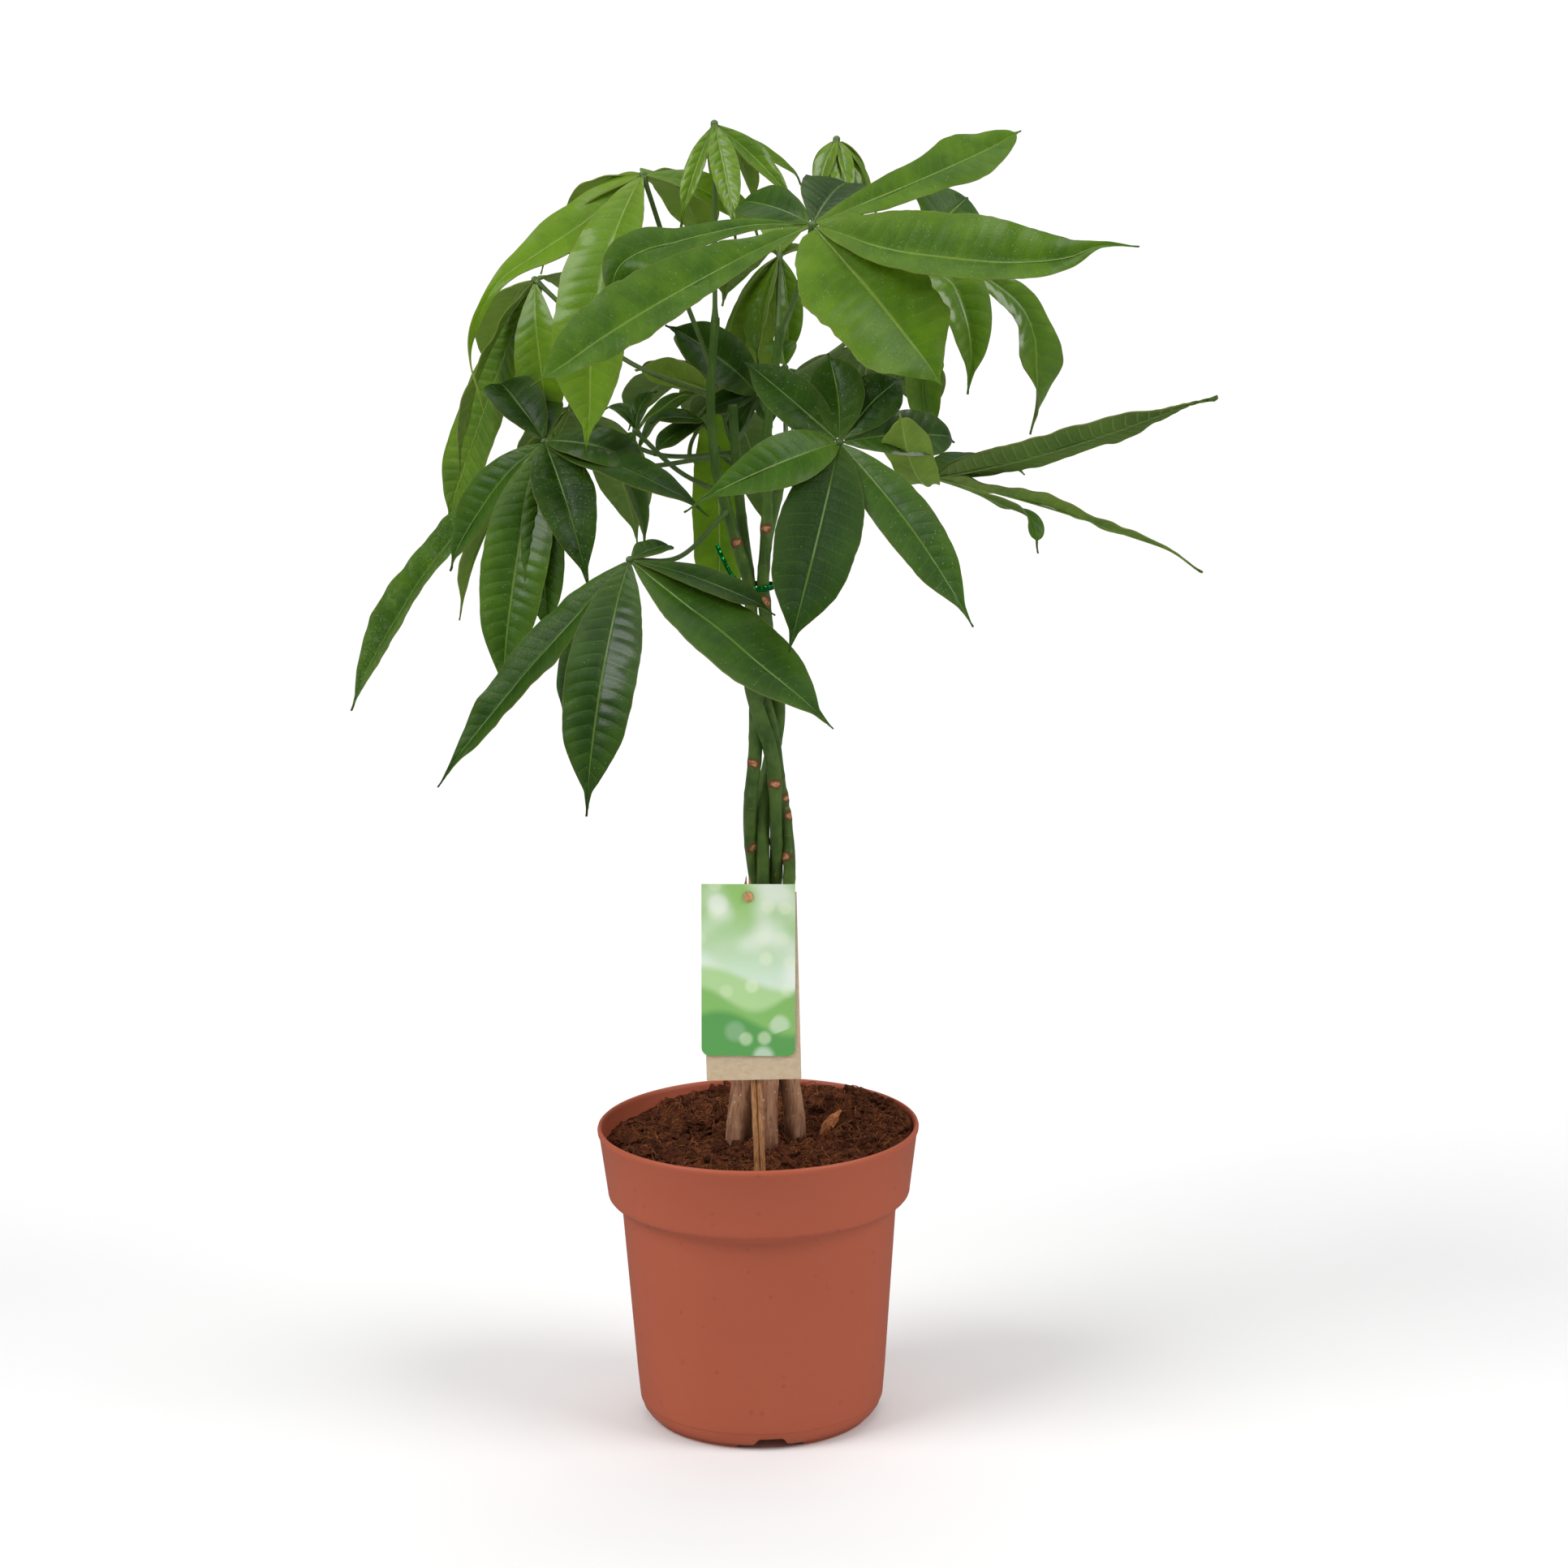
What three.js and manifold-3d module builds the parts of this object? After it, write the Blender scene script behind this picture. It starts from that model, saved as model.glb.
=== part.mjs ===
// Potted money tree: four plaited stems with palmate leaves, in a plastic nursery pot with a plant tag.
// Millimetres, +Z up. The origin is on the ground under the middle of the pot, and -Y is the front.
import * as THREE from "three";
import { mergeVertices } from "three/addons/utils/BufferGeometryUtils.js";
import Module from "manifold-3d";

const wasm = await Module();
wasm.setup();

const SEAT_GAP = 0.3; // clearance between pieces that touch
const TURN = 2 * Math.PI;

// Pot: a 17 cm nursery pot, 16 cm high.
const POT_HEIGHT = 160;
const RIM_RADIUS = 85;
const BAND_FOOT_RADIUS = 80; // the rim band's outside just above its rounded lower edge
const BAND_FOOT_Z = 124;
const WALL_TOP_RADIUS = 73;
const WALL_TOP_Z = 121;
const WALL_FOOT_RADIUS = 65.5;
const WALL_FOOT_Z = 18;
const FOOT_RADIUS = 57.5;
const WALL = 1.8;
const FLOOR_Z = 8; // underside of the base plate
const FOOT_RING_HEIGHT = 1.5;
const FOOT_RING_WIDTH = 5;
const RING_GAP = 35;
const NOTCH_BOTTOM = 20;
const NOTCH_TOP = 13;
const NOTCH_HEIGHT = 7;
const NOTCH_COUNT = 4;
const NOTCH_TURN = 0.08; // radians that the first notch stands to the right of the front
const NOTCH_DEPTH = 20; // into the foot from its outer face
const NOTCH_FLARE = 1; // the cutter is this much deeper and wider below the ground
const RING_PROUD = 0.4; // the foot ring's outer face stands this far outside the foot
const RING_BURY = 0.6; // the ring runs this far up into the shell
const POT_SIDES = 36;
// The pot's section as [radius, height], from the middle of its underside to the middle of its floor.
const POT_UNDERSIDE = [
  [0, FLOOR_Z],
  [FOOT_RADIUS - 6, FLOOR_Z],
  [FOOT_RADIUS - WALL - 0.6, FLOOR_Z - 2],
  [FOOT_RADIUS - WALL - 0.6, FOOT_RING_HEIGHT],
];
const POT_OUTSIDE = [
  [FOOT_RADIUS, FOOT_RING_HEIGHT],
  [FOOT_RADIUS + 4, 4], // rounded foot
  [WALL_FOOT_RADIUS - 1.2, 9],
  [WALL_FOOT_RADIUS, WALL_FOOT_Z],
  [WALL_TOP_RADIUS, WALL_TOP_Z - 0.5], // step out to the rim band
  [BAND_FOOT_RADIUS - 3, WALL_TOP_Z],
  [BAND_FOOT_RADIUS - 0.8, WALL_TOP_Z + 1],
  [BAND_FOOT_RADIUS, BAND_FOOT_Z],
  [RIM_RADIUS - 0.7, POT_HEIGHT - 3], // rolled lip
  [RIM_RADIUS, POT_HEIGHT - 1.5],
  [RIM_RADIUS - 0.5, POT_HEIGHT - 0.3],
  [RIM_RADIUS - 1.2, POT_HEIGHT],
];
const POT_INSIDE = [
  [FOOT_RADIUS, FLOOR_Z + WALL],
  [FOOT_RADIUS + 4, FLOOR_Z + WALL + 3],
  [WALL_FOOT_RADIUS - WALL, WALL_FOOT_Z + 2],
  [WALL_TOP_RADIUS - WALL, WALL_TOP_Z + 2],
  [BAND_FOOT_RADIUS - WALL - 1, BAND_FOOT_Z + 1.5],
  [RIM_RADIUS - WALL - 0.8, POT_HEIGHT - 1.2],
];

// Soil: it fills the pot, highest at the back right, with two sets of low lumps on its surface.
const SOIL_TOP = 151;
const SOIL_SLOPE_X = 0.018;
const SOIL_SLOPE_Y = 0.012;
const SOIL_RINGS = [14, 34, 54, 68];
const BROAD_LUMPS = { height: 1.4, x: 9, y: 11, shift: 1 };
const FINE_LUMPS = { height: 0.9, x: 5, y: 6 };
const SOIL_EDGE_DROP = 4; // the surface can be this far below its mean height at the edge

// Stems: two of each hand, woven over and under, a quarter turn every 65 mm.
const ROOT_Z = 100;
const SOIL_LINE_Z = 152;
const WEAVE_START_Z = 212;
const WEAVE_END_Z = 408;
const FRONT_CROSSING_Z = 375;
const QUARTER_TURN = 65;
const WEAVE_RADIUS = 6.9;
const WEAVE_SWING = 3.5; // how far a stem moves out and in as it crosses the others
const STEM_RADIUS = 3.2;
const TIE_Z = 447;
const TIE_Z_BELOW = 428; // the weave has closed up here, just below the tie
const RADIUS_BELOW_TIE = 5.6; // distance of each stem's middle from the bundle's middle there
const TIE_RADIUS = 4.8; // and under the tie
const SPREAD_END_Z = 185; // the stems lean out from here down to the soil
const SPREAD_END = 0.75; // share of the spread at the soil that is left there
const WEAVE_POINTS = 18;
const BUNDLE_TURN = 45; // degrees that each stem stands round from its azimuth under the tie
const PLAIT_AXIS = [
  [4, 0, ROOT_Z],
  [4, 0, SOIL_LINE_Z],
  [6, 0, 230],
  [8, 0, 330],
  [3, 0, TIE_Z],
];
// Each stem: its hand, its azimuth in degrees at the front crossing, and at the soil its azimuth, its
// distance from the plait's middle and its radius; then the points above the tie and its tip's radius.
const STEMS = {
  stem_1: {
    hand: -1,
    azimuth: 270,
    soil: { azimuth: 100, spread: 13, radius: 5 },
    tip: 2.1,
    top: [
      [-7, -2, 470],
      [-11, -1, 485],
      [-17, 0, 510],
      [-19, 0, 545],
      [-16, 0, 585],
    ],
  },
  stem_2: {
    hand: 1,
    azimuth: 270,
    soil: { azimuth: 5, spread: 15.5, radius: 5.4 },
    tip: 2.1,
    top: [
      [8, -4, 470],
      [9, -3, 490],
      [9, -1, 520],
      [12, 0, 545],
      [17, 0, 580],
    ],
  },
  stem_3: {
    hand: 1,
    azimuth: 90,
    soil: { azimuth: 188, spread: 15, radius: 6.8 },
    tip: 2.4,
    top: [
      [-3, 6, 470],
      [-6, 8, 500],
      [-8, 8, 540],
    ],
  },
  stem_4: {
    hand: -1,
    azimuth: 90,
    soil: { azimuth: 276, spread: 13, radius: 4.4 },
    tip: 2.4,
    top: [
      [9, 6, 470],
      [15, 9, 495],
      [19, 12, 520],
    ],
  },
};
const FOOT_SHARE = [0.12, 0.3]; // shares of a stem's length between which its thick foot narrows
const TIP_SHARE = 0.62; // share of its length where it begins to narrow to its tip
const STEM_SIDES = 6;
const STEM_STEPS = 42;

// Leaves: each rises from a stem at a height, along a stalk to the hub where its leaflets meet.
// face is the way its upper side looks. A blade is [x, y, z of its tip from the hub, width, arch, roll,
// fullness]: arch is how far its middle stands off the straight line to its tip, roll turns it, in
// degrees, and a fullness over 1 makes its shoulders broader.
const LEAVES = {
  leaf_top: {
    stem: "stem_1",
    from: 583,
    hub: [-15, 0, 682],
    face: [0, -0.2, 1],
    blades: [
      [-18, -22, -48, 14, 3, 0, 1],
      [11, -38, -53, 18, 3, 0, 1],
      [41, -12, -29, 18, 0, 20, 1],
      [41, 16, -45, 16, 2, 20, 1],
      [-8, 38, -44, 18, 5, 0, 1],
      [18, 40, -46, 18, 5, 0, 1],
    ],
  },
  leaf_top_right: {
    stem: "stem_2",
    from: 566,
    hub: [47, 50, 671],
    face: [0, 0, 1],
    blades: [
      [-15, -16, -38, 17, 2, 0, 1],
      [5, -25, -42, 17, 2, 0, 1],
      [22, -6, -43, 16, 2, 0, 1],
      [20, 22, -42, 16, 2, 0, 1],
      [-8, 30, -43, 16, 2, 0, 1],
    ],
  },
  leaf_left_crown: {
    stem: "stem_1",
    from: 560,
    hub: [-52, 20, 656],
    face: [0, 0, 1],
    blades: [
      [-83, -30, -115, 26, 26, -30, 1],
      [-27, -48, -136, 36, 22, 0, 1.4],
      [-56, 25, -52, 32, 8, 0, 1.2],
      [34, -46, -24, 16, 4, 20, 1],
      [30, 75, -45, 34, 14, 0, 1.2],
      [-38, 78, -60, 34, 16, 0, 1.2],
    ],
  },
  leaf_front_crown: {
    stem: "stem_2",
    from: 577,
    hub: [33, -70, 636],
    face: [0, -0.75, 0.65],
    blades: [
      [106, 45, 40, 27, 2, 0, 1.3],
      [155, -45, -9, 42, -8, 0, 1.4],
      [61, -30, -78, 60, 4, 0, 1.8],
      [-130, -45, -73, 42, 5, 0, 1.5],
      [-98, 5, -37, 30, 12, 0, 1.2],
      [-66, 40, 15, 24, 6, 0, 1.2],
      [21, 80, 16, 32, 4, 0, 1.2],
    ],
  },
  leaf_right_front: {
    stem: "stem_4",
    from: 500,
    hub: [45, -90, 532],
    face: [0, -0.9, 0.45],
    blades: [
      [-47, 12, 40, 24, 3, 0, 1.2],
      [-5, 22, 42, 24, 3, 0, 1.2],
      [32, 18, 30, 24, 3, 0, 1.2],
      [60, 30, -2, 24, 6, 0, 1.2],
      [62, -58, -81, 34, 3, 0, 1.1],
      [-26, -64, -91, 40, 6, 0, 1.2],
      [-74, -40, -25, 26, 6, 0, 1.1],
    ],
  },
  leaf_right_far: {
    stem: "stem_4",
    from: 515,
    hub: [93, -40, 508],
    face: [0, 0.3, 1],
    blades: [
      [127, -108, 52, 24, 0, -10, 1.2],
      [131, -50, -39, 28, 4, -6, 1.1],
      [54, 25, -42, 22, 8, 0, 1],
      [-24, -20, 3, 24, 8, 0, 1],
      [50, 80, -8, 34, 10, 0, 1.2],
    ],
  },
  leaf_right_crown: {
    stem: "stem_2",
    from: 550,
    hub: [87, 30, 606],
    face: [0, 0, 1],
    blades: [
      [33, 30, 36, 28, 4, 40, 1.4],
      [24, -25, -62, 32, 8, 0, 1.4],
      [58, 5, -86, 26, 34, 40, 1.2],
      [6, -15, -100, 24, 10, 0, 1.1],
      [45, 88, -10, 34, 12, 0, 1.2],
      [-5, 95, -40, 34, 14, 0, 1.2],
    ],
  },
  leaf_left_middle: {
    stem: "stem_1",
    from: 515,
    hub: [-104, 0, 523],
    face: [0, -0.5, 0.85],
    blades: [
      [-115, 85, -154, 30, 8, -15, 1.2],
      [-51, 10, -68, 26, 6, 0, 1.2],
      [-22, -50, -124, 34, 12, 0, 1.3],
      [6, -30, -101, 22, 10, 0, 1.1],
      [24, -50, -70, 30, 12, 0, 1.2],
      [84, -62, -27, 24, 5, 0, 1.1],
      [55, -30, -12, 26, 5, 0, 1.2],
      [-5, 50, 18, 26, 6, 0, 1.2],
      [-26, 40, 27, 26, 6, 0, 1.4],
    ],
  },
  leaf_left_low: {
    stem: "stem_1",
    from: 486,
    hub: [-58, -100, 477],
    face: [0, -0.4, 0.9],
    blades: [
      [-97, -15, -108, 32, 2, 0, 1.1],
      [-21, -64, -113, 36, 18, 0, 1.2],
      [98, -73, -68, 36, 2, 0, 1.2],
      [71, -26, -22, 21, 2, 0, 1.1],
      [20, 30, 3, 16, 2, 0, 1],
      [-38, 35, -86, 32, 8, 0, 1.2],
    ],
  },
  leaf_left_high: {
    stem: "stem_1",
    from: 545,
    hub: [-110, 50, 601],
    face: [-0.2, 0, 1],
    blades: [
      [-44, 0, -99, 24, 8, 0, 1.1],
      [-55, 40, -137, 30, 2, -70, 1.2],
      [13, -25, -38, 26, 6, 0, 1.1],
      [-20, 95, -70, 36, 16, 0, 1.2],
      [45, 85, -40, 34, 14, 0, 1.2],
    ],
  },
  leaf_left_back: {
    stem: "stem_3",
    from: 515,
    hub: [-95, 95, 530],
    face: [0, 0, 1],
    blades: [
      [-67, 25, -118, 34, 10, 0, 1.2],
      [-27, 10, -128, 32, 10, 0, 1.2],
      [40, -10, -75, 32, 8, 0, 1.2],
      [-22, 76, -78, 36, 14, 0, 1.2],
      [32, 72, -84, 36, 14, 0, 1.2],
    ],
  },
  leaf_centre_back: {
    stem: "stem_3",
    from: 538,
    hub: [-20, 85, 540],
    face: [0, 0, 1],
    blades: [
      [-41, -10, -33, 28, 6, 0, 1.2],
      [-40, 15, 10, 28, 6, 0, 1.2],
      [-16, 20, 30, 28, 6, 0, 1.2],
      [2, -32, -130, 28, 18, 0, 1.2],
      [28, 50, -85, 32, 14, 0, 1.2],
      [2, 87, -50, 36, 16, 0, 1.2],
      [-48, 84, -30, 34, 16, 0, 1.2],
    ],
  },
  leaf_high_back: {
    stem: "stem_2",
    from: 556,
    hub: [17, 80, 610],
    face: [0, 0, 1],
    blades: [
      [-12, -25, -56, 18, 4, 0, 1.2],
      [3, -15, -57, 17, 4, 0, 1.2],
      [-30, 0, -50, 22, 6, 0, 1.2],
      [7, 50, 20, 26, 6, 0, 1.2],
      [50, 80, -34, 34, 14, 0, 1.2],
      [-32, 88, -32, 34, 14, 0, 1.2],
    ],
  },
  leaf_right_back: {
    stem: "stem_4",
    from: 519,
    hub: [66, 95, 560],
    face: [0, 0, 1],
    blades: [
      [52, 20, -34, 30, 10, 0, 1.2],
      [44, 68, -50, 34, 12, 0, 1.2],
      [-2, 77, -55, 34, 14, 0, 1.2],
      [-45, 45, -50, 32, 12, 0, 1.2],
    ],
  },
};
const BLADE_THICKNESS = 0.8;
const BLADE_STATIONS = [0.2, 0.42, 0.64, 0.85, 1];
const BLADE_FOLD = 0.22; // rise of each half towards its edge, for each mm away from the midrib
const BLADE_ROOT_POWER = 1.3;
const BLADE_TIP_POWER = 0.95;
const BLADE_ROOT_WIDTH = 1.7;
const BLADE_START = 2; // each blade begins this far out inside the hub's knob
const BLADE_TIP_WIDTH = 1.2;
const BLADE_CREST = 0.45; // share of its length where a blade stands highest off the straight line
const STALK_RADIUS = 1.3;
const STALK_SIDES = 5;
const STALK_STEPS = 5;
const STALK_SAG = 0.1; // of its level reach, at its middle
const STALK_ROOT_SAMPLES = 400; // points along the stem among which its root is looked for
const HUB_RADIUS = 2.8;

// Twist tie round the bundle of stems.
const TIE_BAND_HEIGHT = 2.8;
const TIE_BAND_THICKNESS = 1;
const TIE_BORE_RADIUS = 8.6;
const TIE_SIDES = 28;
const TAIL_STEPS = 12;
const TIE_TAIL = [
  [-3.6, -6.3, 447],
  [-6.5, -8.5, 450],
  [-10, -10, 455],
  [-17, -9, 470],
];

// Plant tag: a printed card pegged to a backing board on a split bamboo stick that leans back.
const TAG_FOOT = [-3, -69, 150];
const TAG_LEAN = 0.16; // radians back from upright
const STICK_TILT = 0.03; // radians that the stick leans to the left behind the board
// Heights up the stick from the soil; the board sits a little to the right of the card.
const CARD = { width: 48, shift: 0, low: 64.5, high: 152.5, corner: 4, thickness: 0.8 };
const BOARD = { width: 48.5, shift: 2, low: 52, high: 148, corner: 1, thickness: 1.2 };
const STICK_HALF_RADIUS = 1.6;
const STICK_HALF_SPACING = 2.6;
const STICK_TOP = 156.5;
const STICK_BOTTOM = -26; // below the soil
const STICK_POINT = 9;
const STICK_TIP_RADIUS = 0.6;
const STICK_WIDTH = 8;
const PIN_HEAD_RADIUS = 2.7;
const PIN_HEAD_HEIGHT = 1.4;
const PIN_HEAD_TAPER = 0.8; // its face is narrower than its back
const PIN_RADIUS = 1.2;
const PIN_UP = 146;
const PIN_IN_HEAD = 0.25; // length of the shank inside the head
const PIN_IN_STICK = 0.7; // and inside the stick
const PIN_HOLE_DEPTH = 1.2;
const STICK_HOLE_DEPTH = 80; // tall enough to break out of the soil's surface

const COLOURS = {
  pot: 0xa4583f,
  soil: 0x45251a,
  bark: 0x54663a,
  leaf: 0x3f7a2c,
  tie: 0x0f7a35,
  card: 0xe9f2e2,
  board: 0xc9ad84,
  bamboo: 0xb08a55,
};

function vector([x, y, z]) {
  return new THREE.Vector3(x, y, z);
}

// ---- Solids: join and cut ----

function solid(geometry) {
  const bare = geometry.clone();
  bare.deleteAttribute("normal");
  bare.deleteAttribute("uv");
  const merged = mergeVertices(bare, 1e-4);
  return new wasm.Manifold(
    new wasm.Mesh({
      numProp: 3,
      vertProperties: merged.attributes.position.array,
      triVerts: new Uint32Array(merged.index.array),
    }),
  );
}

function geometryOf(body) {
  const made = body.getMesh();
  const geometry = new THREE.BufferGeometry();
  geometry.setAttribute("position", new THREE.BufferAttribute(new Float32Array(made.vertProperties), 3));
  geometry.setIndex(new THREE.BufferAttribute(new Uint32Array(made.triVerts), 1));
  geometry.computeVertexNormals();
  return geometry;
}

function join(geometries) {
  return geometries.map(solid).reduce((whole, piece) => whole.add(piece));
}

function piece(name, geometry, colour, roughness = 0.6, metalness = 0) {
  const material = new THREE.MeshStandardMaterial({ color: colour, roughness, metalness });
  const mesh = new THREE.Mesh(geometry, material);
  mesh.name = name;
  return mesh;
}

// ---- Lofts ----

// A closed body through rings of equal count, each anticlockwise as seen from the first ring's outside.
// The quads from the ring point mirrorFrom on are split along their other diagonal.
function loft(rings, mirrorFrom = Infinity) {
  const count = rings[0].length;
  const corners = rings.flat();
  const faces = [];
  for (let i = 0; i + 1 < rings.length; i++) {
    for (let j = 0; j < count; j++) {
      const next = (j + 1) % count;
      const [a, b] = [i * count + j, i * count + next];
      const [c, d] = [(i + 1) * count + next, (i + 1) * count + j];
      if (j < mirrorFrom) faces.push([a, c, b], [a, d, c]);
      else faces.push([a, d, b], [b, d, c]);
    }
  }
  const last = (rings.length - 1) * count;
  for (let j = 1; j + 1 < count; j++) {
    faces.push([0, j, j + 1], [last, last + j + 1, last + j]);
  }
  const geometry = new THREE.BufferGeometry().setFromPoints(corners);
  geometry.setIndex(faces.flat());
  return geometry;
}

// A round limb along a curve, its radius a function of the share of the way along.
function limb(curve, radiusAt, sides, steps) {
  const frames = curve.computeFrenetFrames(steps, false);
  const rings = [];
  for (let i = 0; i <= steps; i++) {
    const middle = curve.getPointAt(i / steps);
    const radius = radiusAt(i / steps);
    const ring = [];
    for (let j = 0; j < sides; j++) {
      const angle = (-j / sides) * TURN;
      ring.push(
        middle
          .clone()
          .addScaledVector(frames.normals[i], radius * Math.cos(angle))
          .addScaledVector(frames.binormals[i], radius * Math.sin(angle)),
      );
    }
    rings.push(ring);
  }
  return loft(rings);
}

// ---- Pot ----

function lathe(profile) {
  const geometry = new THREE.LatheGeometry(profile.map(([r, z]) => new THREE.Vector2(r, z)), POT_SIDES);
  return geometry.rotateX(Math.PI / 2);
}

function potBody() {
  const shell = lathe([...POT_UNDERSIDE, ...POT_OUTSIDE, ...POT_INSIDE.toReversed(), [0, FLOOR_Z + WALL]]);
  const ringOuter = FOOT_RADIUS + RING_PROUD;
  const ringInner = ringOuter - FOOT_RING_WIDTH;
  const ring = lathe([
    [ringInner, 0],
    [ringOuter, 0],
    [ringOuter, FOOT_RING_HEIGHT + RING_BURY],
    [ringInner, FOOT_RING_HEIGHT + RING_BURY],
    [ringInner, 0],
  ]);
  const whole = solid(shell).add(footSegments(ring));
  return notches().reduce((body, notch) => body.subtract(notch), whole);
}

function around(geometry, count, offset) {
  return Array.from({ length: count }, (_, i) => geometry.clone().rotateZ(offset + (i * TURN) / count));
}

// The foot ring with a stretch left out at each notch.
function footSegments(ring) {
  const cutter = new THREE.BoxGeometry(RING_GAP, 8 * FOOT_RING_WIDTH, 4 * FOOT_RING_HEIGHT);
  cutter.translate(0, -FOOT_RADIUS, 0);
  const gaps = around(cutter, NOTCH_COUNT, NOTCH_TURN);
  return gaps.reduce((body, gap) => body.subtract(solid(gap)), solid(ring));
}

function notches() {
  const outline = new THREE.Shape([
    new THREE.Vector2(-NOTCH_BOTTOM / 2 - NOTCH_FLARE, -NOTCH_FLARE),
    new THREE.Vector2(NOTCH_BOTTOM / 2 + NOTCH_FLARE, -NOTCH_FLARE),
    new THREE.Vector2(NOTCH_TOP / 2, NOTCH_HEIGHT),
    new THREE.Vector2(-NOTCH_TOP / 2, NOTCH_HEIGHT),
  ]);
  const cutter = new THREE.ExtrudeGeometry(outline, { depth: NOTCH_DEPTH, bevelEnabled: false });
  cutter.rotateX(Math.PI / 2).translate(0, 0.4 * NOTCH_DEPTH - FOOT_RADIUS, 0);
  return around(cutter, NOTCH_COUNT, NOTCH_TURN).map(solid);
}

// ---- Soil ----

function soilHeight(x, y) {
  const broad = Math.sin(x / BROAD_LUMPS.x + BROAD_LUMPS.shift) * Math.cos(y / BROAD_LUMPS.y);
  const fine = Math.sin(x / FINE_LUMPS.x - y / FINE_LUMPS.y);
  const slope = SOIL_SLOPE_X * x + SOIL_SLOPE_Y * y;
  return SOIL_TOP + slope + BROAD_LUMPS.height * broad + FINE_LUMPS.height * fine;
}

// The inside of the rim band a little below the soil's surface, so that the uneven edge stays clear of it.
function soilEdgeRadius() {
  const [low, high] = POT_INSIDE.slice(4);
  const share = (SOIL_TOP - SOIL_EDGE_DROP - low[1]) / (high[1] - low[1]);
  return low[0] + (high[0] - low[0]) * share - SEAT_GAP;
}

function soilBody(holes) {
  const wall = POT_INSIDE.slice(0, 5).map(([r, z]) => [r - SEAT_GAP, z + SEAT_GAP]);
  const edge = soilEdgeRadius();
  const top = [...SOIL_RINGS, edge].reverse().map((r) => [r, SOIL_TOP]);
  const profile = [[0, FLOOR_Z + WALL + SEAT_GAP], ...wall, ...top, [0, SOIL_TOP]];
  const geometry = lathe(profile);
  const position = geometry.attributes.position;
  for (let i = 0; i < position.count; i++) {
    if (position.getZ(i) > SOIL_TOP - 1e-3) {
      position.setZ(i, soilHeight(position.getX(i), position.getY(i)));
    }
  }
  return holes.reduce((body, hole) => body.subtract(hole), solid(geometry));
}

// ---- Stems ----

const plaitAxis = new THREE.CatmullRomCurve3(PLAIT_AXIS.map(vector));

function axisAt(z) {
  let [low, high] = [0, 1];
  for (let i = 0; i < 30; i++) {
    const middle = (low + high) / 2;
    if (plaitAxis.getPoint(middle).z < z) low = middle;
    else high = middle;
  }
  return plaitAxis.getPoint(low);
}

function polar(z, azimuth, radius) {
  const angle = THREE.MathUtils.degToRad(azimuth);
  return axisAt(z).add(new THREE.Vector3(radius * Math.cos(angle), radius * Math.sin(angle), 0)).setZ(z);
}

function stemPoints({ hand, azimuth, soil, top }) {
  const weave = (z) => {
    const turned = (90 * (z - FRONT_CROSSING_Z)) / QUARTER_TURN;
    const swing = WEAVE_SWING * Math.cos(THREE.MathUtils.degToRad(2 * turned));
    return polar(z, azimuth + hand * turned, WEAVE_RADIUS - hand * swing);
  };
  const points = [
    polar(ROOT_Z, soil.azimuth, soil.spread),
    polar(SOIL_LINE_Z, soil.azimuth, soil.spread),
    polar(SPREAD_END_Z, soil.azimuth, soil.spread * SPREAD_END),
  ];
  for (let i = 0; i <= WEAVE_POINTS; i++) {
    points.push(weave(WEAVE_START_Z + ((WEAVE_END_Z - WEAVE_START_Z) * i) / WEAVE_POINTS));
  }
  const bundled = azimuth + hand * BUNDLE_TURN;
  points.push(polar(TIE_Z_BELOW, bundled, RADIUS_BELOW_TIE), polar(TIE_Z, bundled, TIE_RADIUS));
  return [...points, ...top.map(vector)];
}

// The stem, thick at its foot and slim at its tip; grow is a clearance all round it.
function stemSolid(spec, grow = 0) {
  const curve = new THREE.CatmullRomCurve3(stemPoints(spec));
  const radiusAt = (share) => {
    const base = THREE.MathUtils.smoothstep(share, ...FOOT_SHARE);
    const tip = THREE.MathUtils.smoothstep(share, TIP_SHARE, 1);
    const swollen = THREE.MathUtils.lerp(spec.soil.radius, STEM_RADIUS, base);
    return THREE.MathUtils.lerp(swollen, spec.tip, tip) + grow;
  };
  return limb(curve, radiusAt, STEM_SIDES, STEM_STEPS);
}

// ---- Leaves ----

// Half the width of a leaflet at a share of its length, widest past its middle.
function halfWidth(share, width, fullness) {
  const rootPower = BLADE_ROOT_POWER / fullness;
  const tipPower = BLADE_TIP_POWER / fullness;
  const shape = (at) => Math.pow(at, rootPower) * Math.pow(1 - at, tipPower);
  const widest = BLADE_ROOT_POWER / (BLADE_ROOT_POWER + BLADE_TIP_POWER);
  const least = THREE.MathUtils.lerp(BLADE_ROOT_WIDTH, BLADE_TIP_WIDTH, share);
  return Math.max((width * shape(share)) / shape(widest), least) / 2;
}

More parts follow.
